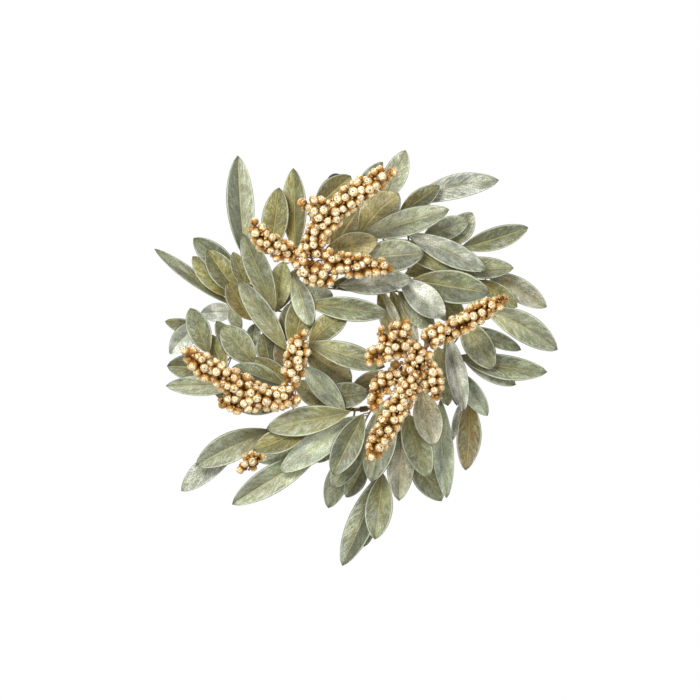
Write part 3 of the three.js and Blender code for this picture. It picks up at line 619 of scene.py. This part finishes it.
leafPicks = {
    "upper_left_outer": leafPick(
        22, "leaf_sage", [(-84, 46), (-108, 56), (-111, 76)],
        leaf(-126, 34, -202, 90, 14, "dark"),
        leaf(-129, 42, -163, 82, 21, "olive"),
        leaf(-115, 60, -162, 100, 25, "dark"),
        leaf(-117, 44, -148, 88, 26, "olive"),
        leaf(-110, 80, -118, 184, 28, "pale", half=1, bow=1),
        leaf(-119, 27, -155, 25, 19, "foil"),
    ),
    "left_outer": leafPick(
        19, "leaf_olive", [(-95, -12), (-130, -14), (-150, 2)],
        leaf(-150, 5, -191, 17, 15, "deep"),
        leaf(-151, 18, -186, -16, 22, "foil", bow=-2),
        leaf(-134, -31, -189, -28, 27, "deep"),
        leaf(-131, -36, -146, 4, 20, "olive"),
        leaf(-147, -15, -165, 30, 24, "dark"),
    ),
    "left_lower": leafPick(
        16, "leaf_mint", [(-66, -64), (-95, -66), (-116, -56)],
        leaf(-113, -64, -143, -50, 16, "sage"),
        leaf(-114, -47, -190, -48, 21, "pale"),
        leaf(-66, -64, -120, -70, 20, "dark"),
    ),
    "lower_left_outer": leafPick(
        15, "leaf_sage", [(-50, -80), (-84, -98), (-117, -114)],
        leaf(-120, -114, -175, -154, 23, "satin", bow=-3),
        leaf(-84, -93, -160, -128, 30, "pale", bow=-2),
    ),
    "bottom_left_outer": leafPick(
        13, "leaf_mint", [(-4, -92), (-14, -111), (-32, -119)],
        leaf(-46, -110, -94, -124, 13, "mint", tone=1.45),
        leaf(-11, -95, -39, -125, 17, "sage"),
        leaf(-34, -113, -122, -165, 28, "pale", half=-0.7, bow=-1),
        leaf(-9, -116, -27, -171, 23, "pale"),
    ),
    "bottom_outer": leafPick(
        11, "leaf_sage", [(28, -92), (20, -120), (20, -146)],
        leaf(18, -150, 9, -210, 21, "dark"),
        leaf(24, -138, -13, -229, 27, "pale", half=0.9, veins=1, bow=1),
        leaf(28, -136, 20, -202, 28, "sage"),
        leaf(12, -123, -9, -160, 20, "sage"),
    ),
    "right_lower": leafPick(
        9, "leaf_olive", [(82, -44), (102, -46), (109, -60)],
        leaf(106, -64, 98, -103, 8, "foil"),
        leaf(114, -60, 111, -133, 25, "brown", bow=2),
        leaf(105, -34, 133, -78, 20, "mint", bow=-1),
    ),
    "right_upper_outer": leafPick(
        6, "leaf_sage", [(95, 14), (120, 30), (131, 58)],
        leaf(114, 11, 167, -12, 16, "dark"),
        leaf(132, 66, 193, 31, 24, "pink", bow=1),
        leaf(124, 58, 163, 31, 20, "olive"),
        leaf(130, 30, 203, -12, 29, "pale", half=0.5, bow=3),
    ),
    "top_right_outer": leafPick(
        3, "leaf_mint", [(56, 78), (53, 104), (47, 130)],
        leaf(56, 137, 145, 159, 25, "satin", bow=4),
        leaf(44, 124, 85, 153, 20, "deep"),
    ),
    "top_outer": leafPick(
        2, "leaf_sage", [(32, 88), (20, 118), (6, 140)],
        leaf(0, 145, 28, 177, 15, "dark"),
        leaf(29, 136, 51, 189, 24, "pale", tone=0.8),
    ),
    "top_left": leafPick(
        25, "leaf_olive", [(-30, 88), (-50, 96), (-74, 92)],
        leaf(-40, 131, -4, 163, 27, "ochre"),
        leaf(-60, 86, -62, 171, 25, "olive"),
        leaf(-85, 84, -76, 151, 27, "olive"),
        leaf(-46, 90, -31, 130, 12, "deep"),
        leaf(-23, 90, 4, 131, 32, "brown"),
    ),
    "bottom_right": leafPick(
        10, "leaf_sage", [(54, -72), (59, -94), (63, -110)],
        leaf(44, -40, -2, -48, 23, "brown", tone=1.6),
        leaf(60, -108, 87, -164, 28, "sage", bow=-3),
        leaf(86, -62, 92, -161, 22, "mint", bow=-1),
        leaf(48, -84, 44, -163, 28, "blush", tone=1.15),
        leaf(50, -74, 73, -139, 29, "sage"),
        leaf(66, -52, 79, -107, 29, "blush", tone=1.3),
        leaf(34, -60, 16, -144, 34, "pale"),
    ),
    "upper_right": leafPick(
        5, "leaf_olive", [(77, 48), (74, 80), (96, 88)],
        leaf(50, 64, 92, 75, 18, "tan"),
        leaf(94, 92, 118, 126, 25, "pale"),
        leaf(106, 90, 174, 111, 23, "dark", bow=-1),
        leaf(94, 75, 159, 70, 22, "sage", bow=-2),
        leaf(68, 101, 114, 118, 23, "pale"),
        leaf(72, 46, 110, 18, 27, "olive"),
        leaf(38, 98, 102, 67, 22, "olive"),
        leaf(54, 104, 131, 68, 25, "satin"),
        leaf(58, 58, 134, 45, 34, "dark"),
    ),
    "right": leafPick(
        8, "leaf_mint", [(84, -14), (100, -4), (110, 15)],
        leaf(107, -18, 161, -47, 20, "pale"),
        leaf(104, -18, 192, -34, 25, "dark", bow=-3),
        leaf(90, 0, 102, -68, 13, "dark"),
        leaf(82, -8, 93, -68, 24, "sage"),
        leaf(94, 2, 109, -73, 21, "foil", half=-0.7, tone=0.8),
        leaf(106, 20, 138, -31, 29, "sage"),
    ),
    "top": leafPick(
        1, "leaf_sage", [(15, 84), (8, 98)],
        leaf(5, 104, 44, 145, 36, "tan", bow=3),
        leaf(6, 102, 94, 128, 27, "pale"),
        leaf(4, 80, 69, 85, 33, "pale"),
        leaf(-32, 84, 23, 98, 29, "tan", tone=1.45),
    ),
    "left": leafPick(
        18, "leaf_olive", [(-80, -31), (-98, -24), (-110, -16)],
        leaf(-114, 8, -126, 28, 13, "pale"),
        leaf(-113, -25, -139, 17, 19, "deep"),
        leaf(-103, -10, -101, 14, 15, "pale"),
        leaf(-100, -26, -133, 12, 30, "sage"),
        leaf(-84, -30, -92, 5, 22, "deep"),
        leaf(-64, -42, -77, -2, 21, "brown"),
        leaf(-64, -44, -101, -20, 18, "olive"),
        leaf(-70, -48, -122, -29, 25, "dark", half=1),
    ),
    "upper_left": leafPick(
        21, "leaf_mint", [(-80, 28), (-98, 32)],
        leaf(-107, 48, -122, 86, 17, "olive"),
        leaf(-80, 26, -57, 70, 17, "olive"),
        leaf(-79, 27, -72, 77, 24, "lime", half=0, tone=1.2),
        leaf(-104, 18, -127, 56, 24, "ochre", veins=0.9),
        leaf(-80, 28, -112, 104, 25, "sage", half=-0.4),
    ),
    "inner_left": leafPick(
        20, "leaf_sage", [(-60, 2), (-48, -8)],
        leaf(-72, -6, -65, 35, 17, "deep"),
        leaf(-52, -10, -3, -44, 30, "tan"),
        leaf(-62, -12, -49, 46, 30, "olive"),
        leaf(-46, -8, -8, 22, 25, "olive", bow=4),
        leaf(-46, -5, 30, -29, 25, "sage"),
        leaf(-68, -12, -116, 57, 23, "sage"),
    ),
    "inner_right": leafPick(
        4, "leaf_mint", [(48, 46), (38, 47), (30, 46)],
        leaf(46, 34, 62, -10, 15, "blush", tone=1.2),
        leaf(24, 48, 42, -6, 18, "tan", tone=1.4),
        leaf(36, 48, 53, 9, 16, "tan", tone=1.6),
        leaf(28, 47, 46, 9, 9, "blush", tone=1.25),
        leaf(44, 46, 79, 8, 24, "pale"),
        leaf(46, 58, 90, 21, 30, "foil"),
    ),
    "inner_top": leafPick(
        23, "leaf_sage", [(-40, 53), (-26, 50), (-16, 49)],
        leaf(-60, 40, -22, 43, 25, "mint"),
        leaf(-61, 62, -44, 12, 22, "pale"),
        leaf(-48, 34, 33, 24, 24, "dark", tone=0.8),
        leaf(-26, 53, 18, 57, 16, "dark"),
        leaf(-16, 52, 57, 59, 25, "silver"),
    ),
    "bottom": leafPick(
        12, "leaf_mint", [(10, -84), (7, -101)],
        leaf(8, -98, -22, -149, 27, "sage"),
        leaf(4, -78, -75, -133, 28, "mint"),
        leaf(8, -76, -22, -136, 29, "dark"),
    ),
    "inner_bottom": leafPick(
        14, "leaf_sage", [(-26, -74), (-38, -86)],
        leaf(-16, -70, -60, -45, 26, "tan"),
        leaf(-38, -60, 14, -55, 27, "sage"),
        leaf(-10, -74, -50, -29, 24, "mint", tone=1.35),
        leaf(-45, -91, -101, -111, 25, "olive"),
        leaf(-6, -74, -88, -90, 29, "sage"),
    ),
}


# How wide the outline is along the leaf, as a share of its width
def bladeWidth(share):
    if not 0 < share < 1:
        return 0
    return math.sin(math.pi * share ** blade["belly"]) ** blade["fullness"]


# A leaf blade: a sheet drawn to its outline, folded at the midrib, then given its thickness
def addBlade(bm, shape, layer, layersOf):
    look = leafLooks[shape["look"]]
    base, tip = Vector(shape["base"]), Vector(shape["tip"])
    lead = tip - base
    left = Vector((-lead.y, lead.x)).normalized()
    usual = blade["usualWidth"]
    fold = blade["fold"] * shape["width"] / usual * rng.uniform(*blade["foldSpread"])
    roll = blade["roll"] * shape["width"] / usual * either(1)
    wavePhase = rng.uniform(*blade["wavePhase"])
    curl = rng.uniform(*blade["curl"])
    # tone differs at random, times a factor given per leaf, matched to how bright the leaf
    # looks where it lies; on leaves in shade that factor is painted light
    tone = rng.uniform(*blade["toneSpread"]) * shape.get("tone", 1)
    tint = [value * tone for value in look["tint"][:3]] + [rng.random()]
    # how strongly one half of the leaf gets painted shade, and which half
    half = 0.5 + 0.5 * shape.get("half", either(blade["halfSpread"]))
    marks = (look["sheen"], half, shape.get("veins", look["veins"]), look["mottle"])
    grid = bmesh.ops.create_grid(
        bm, x_segments=blade["along"], y_segments=blade["across"], size=1,
    )["verts"]
    faces = list({face for vert in grid for face in vert.link_faces})
    for face in faces:
        face.material_index = 0
        for corner in face.loops:
            at = corner.vert.co
            corner[layersOf["map"]].uv = ((at.x + 1) / 2, (at.y + 1) / 2)
    for vert in grid:
        share, side = (vert.co.x + 1) / 2, vert.co.y
        width = bladeWidth(share)
        reach = max(shape["width"] / 2 * width, blade["stalk"] / 2 if share < 0.5 else 0)
        across = side * reach + shape.get("bow", 0) * math.sin(math.pi * share)
        spot = base + lead * share + left * across
        rise = fold * abs(side) ** blade["foldPower"] * width + roll * side * width
        wave = math.sin(wavePhase + blade["waves"] * share)
        rise += blade["wave"] * wave * side * side * width
        rise += curl * max(0, share - blade["curlFrom"]) ** 2 * blade["curlRise"]
        vert.co = place(spot.x, spot.y, layerDepth(layer, spot.x, spot.y) + rise)
        vert[layersOf["tint"]] = tint
        vert[layersOf["look"]] = marks
    bmesh.ops.remove_doubles(bm, verts=grid, dist=tiny)
    sheet = [face for face in faces if face.is_valid]
    bmesh.ops.solidify(bm, geom=sheet, thickness=blade["thick"] * mm)


# A leaf joins its stem at a near point, from which it points away
def leafRoot(points, shape):
    lead = Vector(shape["tip"]) - Vector(shape["base"])

    def cost(point):
        x, z, _ = planOf(point)
        way = Vector(shape["base"]) - Vector((x, z))
        return way.length * (2 - way.normalized().dot(lead.normalized()))

    return min(points, key=cost)


def taperedRadii(kind, count):
    return [kind["wire"] / 2 * (1 - kind["taper"] * i / count) for i in range(count)]


def makeLeafPick(name, pick):
    cad = "leaf_pick_" + name
    bm = bmesh.new()
    layersOf = {
        "map": bm.loops.layers.uv.new("leafMap"),
        "tint": bm.verts.layers.float_color.new("leafTint"),
        "look": bm.verts.layers.float_color.new("leafLook"),
    }
    stemLayer = cadLayer(cad, *pick["stem"][-1], within=stem["near"])

    def depthOf(x, z):
        return layerDepth(stemLayer, x, z)

    route = smoothRoute(stemRoute(pick["slot"], pick["stem"], depthOf), stem["step"])
    addWire(bm, route, taperedRadii(stem, len(route)), stem["sides"], 1)
    carrier = route[len(route) // 3:]  # no leaf joins at the tail
    for shape in pick["leaves"]:
        layer = cadLayer(cad, *shape["tip"], within=petiole["near"])
        root = leafRoot(carrier, shape)
        base = place(*shape["base"], layerDepth(layer, *shape["base"]))
        inside = Vector(shape["base"]).lerp(Vector(shape["tip"]), petiole["into"])
        into = place(*inside, layerDepth(layer, *inside))
        bend = root.lerp(base, petiole["bend"])
        path = smoothRoute([root, bend, base, into], petiole["step"])
        addWire(bm, path, taperedRadii(petiole, len(path)), petiole["sides"], 1)
        addBlade(bm, shape, layer, layersOf)
    finishPiece("leaves_" + name, bm, [leafSkin, stalkSkin], "wreath", pick["finish"], cad)


for name, pick in leafPicks.items():
    makeLeafPick(name, pick)
leafCount = sum(len(pick["leaves"]) for pick in leafPicks.values())
print("leaf picks:", len(leafPicks), "with", leafCount, "leaves")

# Berry branches: a leader has a tail on the ring, the others start beside their leader
berry = {
    "diameter": 9.6, "sizes": (0.85, 1.06), "around": 9, "rings": 6, "crinkle": 0.1,
    "crease": 0.35, "dimple": 0.2,
    "pips": 0.3,  # share of berries with a dark pip
    "step": 0.6, "turn": 137.5, "turnSpread": 14, "bare": 6, "gap": 0.74, "spread": 1.15,
    "reaches": (1, 0.78, 0.55),  # tried from the outside in
    "reachSpread": (0.92, 1.04), "taper": 44, "endReach": 0.5, "endTries": 6,
    "endLength": 3, "endLean": 1.2,
}
bud = {
    "size": (0.24, 0.42), "out": (0.8, 1.2), "gap": 0.9, "around": 6, "rings": 4,
    "crinkle": 0.2, "shade": 0.2, "tone": (0.2, 0.6), "shankSides": 3,
}
strand = {
    "leader": 2.4, "wire": 1.6, "fork": 1.1, "sides": 6, "step": 2.5, "shade": 0.3,
    "shank": 0.9, "shankSides": 4, "shankShade": 0.4, "seat": 0.3, "near": 1,
}


def berryBranch(reach, *strands, **more):
    return {"reach": reach, "strands": strands, **more}


berryBranches = {
    "left": berryBranch(
        9,
        [(-62, -54), (-82, -60), (-100, -55), (-115, -47), (-140, -34), (-166, -15)],
        slot=17, bare=0,
    ),
    "top": berryBranch(
        9,
        [(-42, 76), (-43, 88), (-32, 110), (-8, 136), (34, 164)],
        [(-28, 115), (-37, 127), (-48, 131)],
        slot=24,
    ),
    "right": berryBranch(
        10,
        [(68, -10), (58, -40), (43, -67), (17, -117)],
        [(66, -26), (76, -42), (80, -56)],
        slot=7, bare=0, bunch=8.5,
    ),
    "lower_left": berryBranch(
        5,
        [(-60, -58), (-66, -84), (-80, -99), (-95, -117), (-113, -130)],
        leader="left", bare=34, taper=12,
    ),
    "left_upper": berryBranch(
        8, [(-68, -46), (-62, -34), (-56, -12), (-53, 2)], leader="left",
    ),
    "left_lower": berryBranch(6, [(-88, -62), (-110, -65), (-132, -63)], leader="left"),
    "top_left": berryBranch(
        8, [(-50, 80), (-66, 84), (-86, 95), (-101, 113)], leader="top",
    ),
    "top_right": berryBranch(
        8,
        [(-36, 77), (-10, 73), (31, 70)],
        [(-36, 77), (-46, 70), (-38, 62), (-22, 61)],
        leader="top",
    ),
    "right_upper": berryBranch(
        7, [(72, -4), (92, 7), (110, 17), (147, 39)], leader="right", bare=0,
    ),
    "inner_right": berryBranch(
        8,
        [(62, -14), (44, -10), (27, 4)],
        [(48, -11), (44, 2), (47, 13)],
        [(40, -9), (28, -14), (16, -20)],
        leader="right", bare=0,
    ),
    "inner_lower": berryBranch(
        7, [(58, -32), (38, -36), (25, -48), (18, -66)], leader="right",
    ),
}
berryPlaces = []
leaderRoutes = {}


def addBall(bm, centre, out, radius, around, rings):
    turn = out.to_track_quat("Z", "Y").to_matrix().to_4x4()
    return bmesh.ops.create_uvsphere(
        bm, u_segments=around, v_segments=rings, radius=radius * mm,
        matrix=Matrix.Translation(centre) @ turn,
    )["verts"]


# A small brown bud in a gap between berries
def addBud(bm, centre, out, radius, marks):
    for vert in addBall(bm, centre, out, radius, bud["around"], bud["rings"]):
        vert.co += (vert.co - centre) * either(bud["crinkle"])
        vert[marks] = (0, bud["shade"], rng.uniform(*bud["tone"]), 1)


def addBerry(bm, centre, out, radius, marks):
    made = addBall(bm, centre, out, radius, berry["around"], berry["rings"])
    shade = rng.random()
    heights = {vert: (vert.co - centre).dot(out) / (radius * mm) for vert in made}
    pole = max(made, key=heights.get)
    for vert in made:
        # painted shade and highlight: this mark runs from 0 at the outer end to 1 at the shank,
        # pale there and copper here
        foot = (1 - heights[vert]) / 2
        vert[marks] = (0, shade, foot, 1)
        vert.co += (vert.co - centre) * either(berry["crinkle"])
    if rng.random() < berry["pips"]:
        pole[marks] = (1, shade, 0, 1)
    pole.co -= out * (radius * berry["dimple"] * mm)


def markWire(verts, marks, shade):
    for vert in verts:
        vert[marks] = (0, shade, 1, 1)


def hasRoom(centre, size, gap):
    return all(
        (centre - other).length > gap * (size + big) * mm
        for other, big in reversed(berryPlaces)
    )


# Berries are set around a wire by the golden angle, wherever there is room
def addBerries(bm, path, branch, marks):
    bare = branch.get("bare", berry["bare"])
    radius = berry["diameter"] / 2
    shankRadii = [strand["shank"] / 2] * 2
    lengths = [0]
    for a, b in zip(path, path[1:]):
        lengths.append(lengths[-1] + (b - a).length / mm)
    whole = lengths[-1]
    taper = min(branch.get("taper", berry["taper"]), whole / 2)
    count = int((whole - bare) / berry["step"])
    for i in range(count + berry["endTries"]):
        at = min(bare + (i + 0.5) * berry["step"], whole)
        k = next(j for j, reached in enumerate(lengths) if reached >= at - tiny)
        here, before = path[k], path[max(k - 2, 0)]
        aim = (path[min(k + 1, len(path) - 1)] - path[max(k - 1, 0)]).normalized()
        side = aim.cross(Vector((0, -1, 0))).normalized()
        front = side.cross(aim).normalized()
        turn = math.radians(i * berry["turn"] + either(berry["turnSpread"]))
        spare = min(1, berry["endReach"] + (whole - at) / taper)
        away = side * (berry["spread"] * math.cos(turn)) + front * math.sin(turn)
        if whole - at < berry["endLength"]:
            away = (away + aim * berry["endLean"]).normalized()
        for reach in berry["reaches"]:
            out = branch.get("bunch", branch["reach"]) * reach * spare
            centre = here + away * (out * rng.uniform(*berry["reachSpread"]) * mm)
            size = radius * rng.uniform(*berry["sizes"])
            if hasRoom(centre, size, berry["gap"]):
                berryPlaces.append((centre, size))
                shank = addWire(bm, [before, centre], shankRadii, strand["shankSides"])
                markWire(shank, marks, strand["shankShade"])
                addBerry(bm, centre, away, size, marks)
                break
        else:
            out = branch["reach"] * spare * rng.uniform(*bud["out"])
            centre = here + away * (out * mm)
            size = radius * rng.uniform(*bud["size"])
            if hasRoom(centre, size, bud["gap"]):
                berryPlaces.append((centre, size))
                addWire(bm, [before, centre], shankRadii, bud["shankSides"])
                addBud(bm, centre, away, size, marks)


def nearest(route, spot):
    return min(range(len(route)), key=lambda k: (route[k] - spot).length)


def makeBerryBranch(name, branch):
    cad = "berry_branch_" + name
    bm = bmesh.new()
    marks = bm.verts.layers.float_color.new("berryLook")
    lift = branch["reach"] + berry["diameter"] / 2 + strand["seat"]
    layer = cadLayer(cad, *branch["strands"][0][-1], within=strand["near"], lift=lift)
    mainRoute = None

    def depthOf(x, z):
        return layerDepth(layer, x, z) + lift

    for plan in branch["strands"]:
        points = [place(x, z, depthOf(x, z)) for x, z in plan]
        width = strand["wire"]
        if mainRoute:  # a fork of this branch
            points[0] = mainRoute[nearest(mainRoute, points[0])]
            width = strand["fork"]
        elif "slot" in branch:
            points = stemRoute(branch["slot"], plan, depthOf)
            width = strand["leader"]
        else:
            leader = leaderRoutes[branch["leader"]]
            points.insert(0, leader[nearest(leader, points[0])])
        route = smoothRoute(points, strand["step"])
        mainRoute = mainRoute or route
        wire = addWire(bm, route, [width / 2] * len(route), strand["sides"])
        markWire(wire, marks, strand["shade"])
        start = nearest(route, points[-len(plan)])
        addBerries(bm, route[start:], branch, marks)
    if "slot" in branch:
        leaderRoutes[name] = mainRoute
    crease = berry["crease"]
    finishPiece("berries_" + name, bm, [berrySkin], "wreath", "berry_gold", cad, crease=crease)


for name, branch in berryBranches.items():
    makeBerryBranch(name, branch)
print("berry branches:", len(berryBranches), "with", len(berryPlaces), "berries and buds")


# A closed hoop of wire, spun from a disc
def addHoop(bm, seat, kind, centre, axis, steps):
    disc = bmesh.ops.create_circle(
        bm, segments=kind["sides"], radius=kind["wire"] / 2 * mm, matrix=seat,
    )["verts"]
    edges = list({edge for vert in disc for edge in vert.link_edges})
    bmesh.ops.spin(
        bm, geom=disc + edges, cent=centre, axis=axis, dvec=(0, 0, 0), angle=math.tau,
        steps=steps, use_merge=True,
    )


# Ring wire
def makeRing():
    bm = bmesh.new()
    middle = place(0, 0, ring["depth"])
    seat = Matrix.Translation(onRing(0, ring["radius"], ring["depth"]))
    addHoop(bm, seat, ring, middle, (0, 1, 0), ring["steps"])
    bmesh.ops.remove_doubles(bm, verts=bm.verts, dist=tiny)
    finishPiece("ring", bm, [ringSkin], "wreath", "ring_wire", "ring_wire")


makeRing()

# Tape wound over each tail and the ring
tape = {
    "length": 8, "half": 3.05, "turns": 4, "ridge": 0.22, "endStep": 0.35,
    "steps": 24, "sides": 24, "level": 0.0001,
}


def makeTape(cad, slot):
    bm = bmesh.new()
    middle = (ring["depth"] + stem["tailDepth"]) / 2
    stretch = (stem["tailDepth"] - ring["depth"]) / 2
    span = arcDegrees(tape["length"] / 2)
    route, radii = [], []
    for i in range(tape["steps"] + 1):
        turn = slotAngle(slot) + span - 2 * span * i / tape["steps"]
        route.append(onRing(turn, ring["radius"], middle))
        wound = (i * tape["turns"] / tape["steps"]) % 1
        atEnd = i in (0, tape["steps"])
        radii.append(tape["half"] - tape["ridge"] * wound - tape["endStep"] * atEnd)
    # drawn out from the ring to the tail
    for vert in addWire(bm, route, radii, tape["sides"]):
        away = layout["wall"] - vert.co.y / mm - middle
        if abs(away) > tape["level"]:
            vert.co.y -= math.copysign(stretch, away) * mm
    finishPiece(cad.replace("tape_", "tapeWrap_"), bm, [tapeSkin], "wreath", "tape", cad)


for name, pick in leafPicks.items():
    makeTape("tape_" + name + "_leaves", pick["slot"])
for name, branch in berryBranches.items():
    if "slot" in branch:
        makeTape("tape_" + name + "_berries", branch["slot"])
print("ring and tape made")

# Hanging loop of black wire, with two eyes around the ring
loop = {
    "wire": 2.6, "reach": 93, "width": 17,
    "eyes": 10,  # from one eye to the other
    "eyeGap": 0.6, "eyeSteps": 36, "bendStep": 30, "step": 2, "sides": 12,
}


def makeLoop():
    bm = bmesh.new()
    eyeRadius = (ring["wire"] + loop["wire"]) / 2 + loop["eyeGap"]
    angle = math.radians(ring["firstAngle"])
    outward = Vector((math.cos(angle), math.sin(angle)))
    sideways = Vector((-math.sin(angle), math.cos(angle)))
    across, topDepth = loop["width"] / 2, loop["wire"] / 2
    straight = loop["reach"] - across
    middle = (ring["depth"] + topDepth) / 2

    def point(side, up, depth):
        spot = outward * (ring["radius"] + up) + sideways * side
        return place(spot.x, spot.y, depth)

    # up from one eye, around the bend and down to the other
    points = [
        point(loop["eyes"] / 2, eyeRadius, ring["depth"]),
        point(across, straight / 2, middle),
    ]
    for turn in range(0, 181, loop["bendStep"]):
        up = straight + (across + loop["wire"] / 2) * math.sin(math.radians(turn))
        points.append(point(across * math.cos(math.radians(turn)), up, topDepth))
    points += [
        point(-across, straight / 2, middle),
        point(-loop["eyes"] / 2, eyeRadius, ring["depth"]),
    ]
    route = smoothRoute(points, loop["step"])
    addWire(bm, route, [loop["wire"] / 2] * len(route), loop["sides"])
    for side in (-1, 1):
        turn = ring["firstAngle"] + side * arcDegrees(loop["eyes"] / 2)
        centre = onRing(turn, ring["radius"], ring["depth"])
        axis = (onRing(turn + 90, 1, 0) - onRing(0, 0, 0)).normalized()
        spoke = (onRing(turn, 1, 0) - onRing(0, 0, 0)).normalized()
        facing = axis.cross(spoke).to_track_quat("Z", "Y").to_matrix().to_4x4()
        seat = Matrix.Translation(centre + spoke * eyeRadius * mm) @ facing
        addHoop(bm, seat, loop, centre, axis, loop["eyeSteps"])
    bmesh.ops.remove_doubles(bm, verts=bm.verts, dist=tiny)
    finishPiece("loopWire", bm, [loopSkin], "loop", "loop_wire", "hanging_loop")


makeLoop()
print("hanging loop made")

# Pale floor below the view, white surroundings and soft light
studio = {
    "aim": (0.02, -0.04, -0.18), "floorX": 0.02, "floorY": -0.95, "floorDrop": 0.26,
    "floorRadius": 1.6, "floorSides": 96,
    "floorDark": paint(242, 242, 240),
    "floorLight": paint(248, 248, 246),
    "floorFine": 400, "floorPatch": 12, "floorRough": 0.9, "world": 0.26,
}
lamps = {
    "keyLight": {"spot": (-0.95, -1.5, 1.05), "size": 0.8, "power": 44.5},
    "fillLight": {"spot": (1.4, -1.7, 0.2), "size": 1.2, "power": 9.5},
    "backLight": {"spot": (0.4, 1.6, 0.7), "size": 1.2, "power": 14},
}


def makeFloor():
    bm = bmesh.new()
    below = cadLow.z - studio["floorDrop"]
    bmesh.ops.create_circle(
        bm, cap_ends=True, segments=studio["floorSides"], radius=studio["floorRadius"],
        matrix=Matrix.Translation((studio["floorX"], studio["floorY"], below)),
    )
    material, tree, shader = newMaterial("floorPaper")
    speck = grain(tree, studio["floorFine"], studio["floorPatch"])
    colour = blend(tree, speck["Patch"], studio["floorDark"], studio["floorLight"])
    feed(shader.inputs["Base Color"], colour)
    shader.inputs["Roughness"].default_value = studio["floorRough"]
    floor = addObject("floor", bm, [material])


# White where it is seen, dimmer as a light
def makeWorld():
    world = bpy.data.worlds.new("studioWhite")
    scene.world = world
    world.use_nodes = True
    tree = world.node_tree
    back = tree.nodes["Background"]
    path = node(tree, "ShaderNodeLightPath")
    seen = maths("MAXIMUM", path.outputs["Is Camera Ray"], path.outputs["Is Glossy Ray"])
    seen = maths("MAXIMUM", seen, path.outputs["Is Transmission Ray"])
    back.inputs["Color"].default_value = (1, 1, 1, 1)
    share = node(tree, "ShaderNodeMapRange")
    feed(share.inputs["Value"], seen)
    feed(share.inputs["To Min"], studio["world"])
    feed(share.inputs["To Max"], 1)
    feed(back.inputs["Strength"], share.outputs[0])


def makeLamps():
    for name, kind in lamps.items():
        lamp = bpy.data.lights.new(name, "AREA")
        lamp.size = kind["size"]
        lamp.energy = kind["power"]
        light = bpy.data.objects.new(name, lamp)
        light.location = kind["spot"]
        way = Vector(studio["aim"]) - Vector(kind["spot"])
        light.rotation_euler = way.to_track_quat("-Z", "Y").to_euler()
        scene.collection.objects.link(light)


makeFloor()
makeWorld()
makeLamps()

# The camera looks straight at the wreath, and 700 pixels take in 700 mm at the leaves
view = {
    "centreX": -5, "centreZ": -12, "depth": 40,
    "distance": 4, "frame": 0.7, "sensor": 36, "clip": 50,
}


def makeCamera():
    lens = bpy.data.cameras.new("camera")
    lens.sensor_width = view["sensor"]
    lens.lens = view["sensor"] * view["distance"] / view["frame"]
    lens.clip_end = view["clip"]
    camera = bpy.data.objects.new("camera", lens)
    target = place(view["centreX"], view["centreZ"], view["depth"])
    camera.location = target - Vector((0, view["distance"], 0))
    camera.rotation_euler = (math.radians(90), 0, 0)
    scene.collection.objects.link(camera)
    scene.camera = camera


makeCamera()
scene.view_settings.view_transform = "Standard"
print("studio and camera set")

bpy.context.view_layer.update()
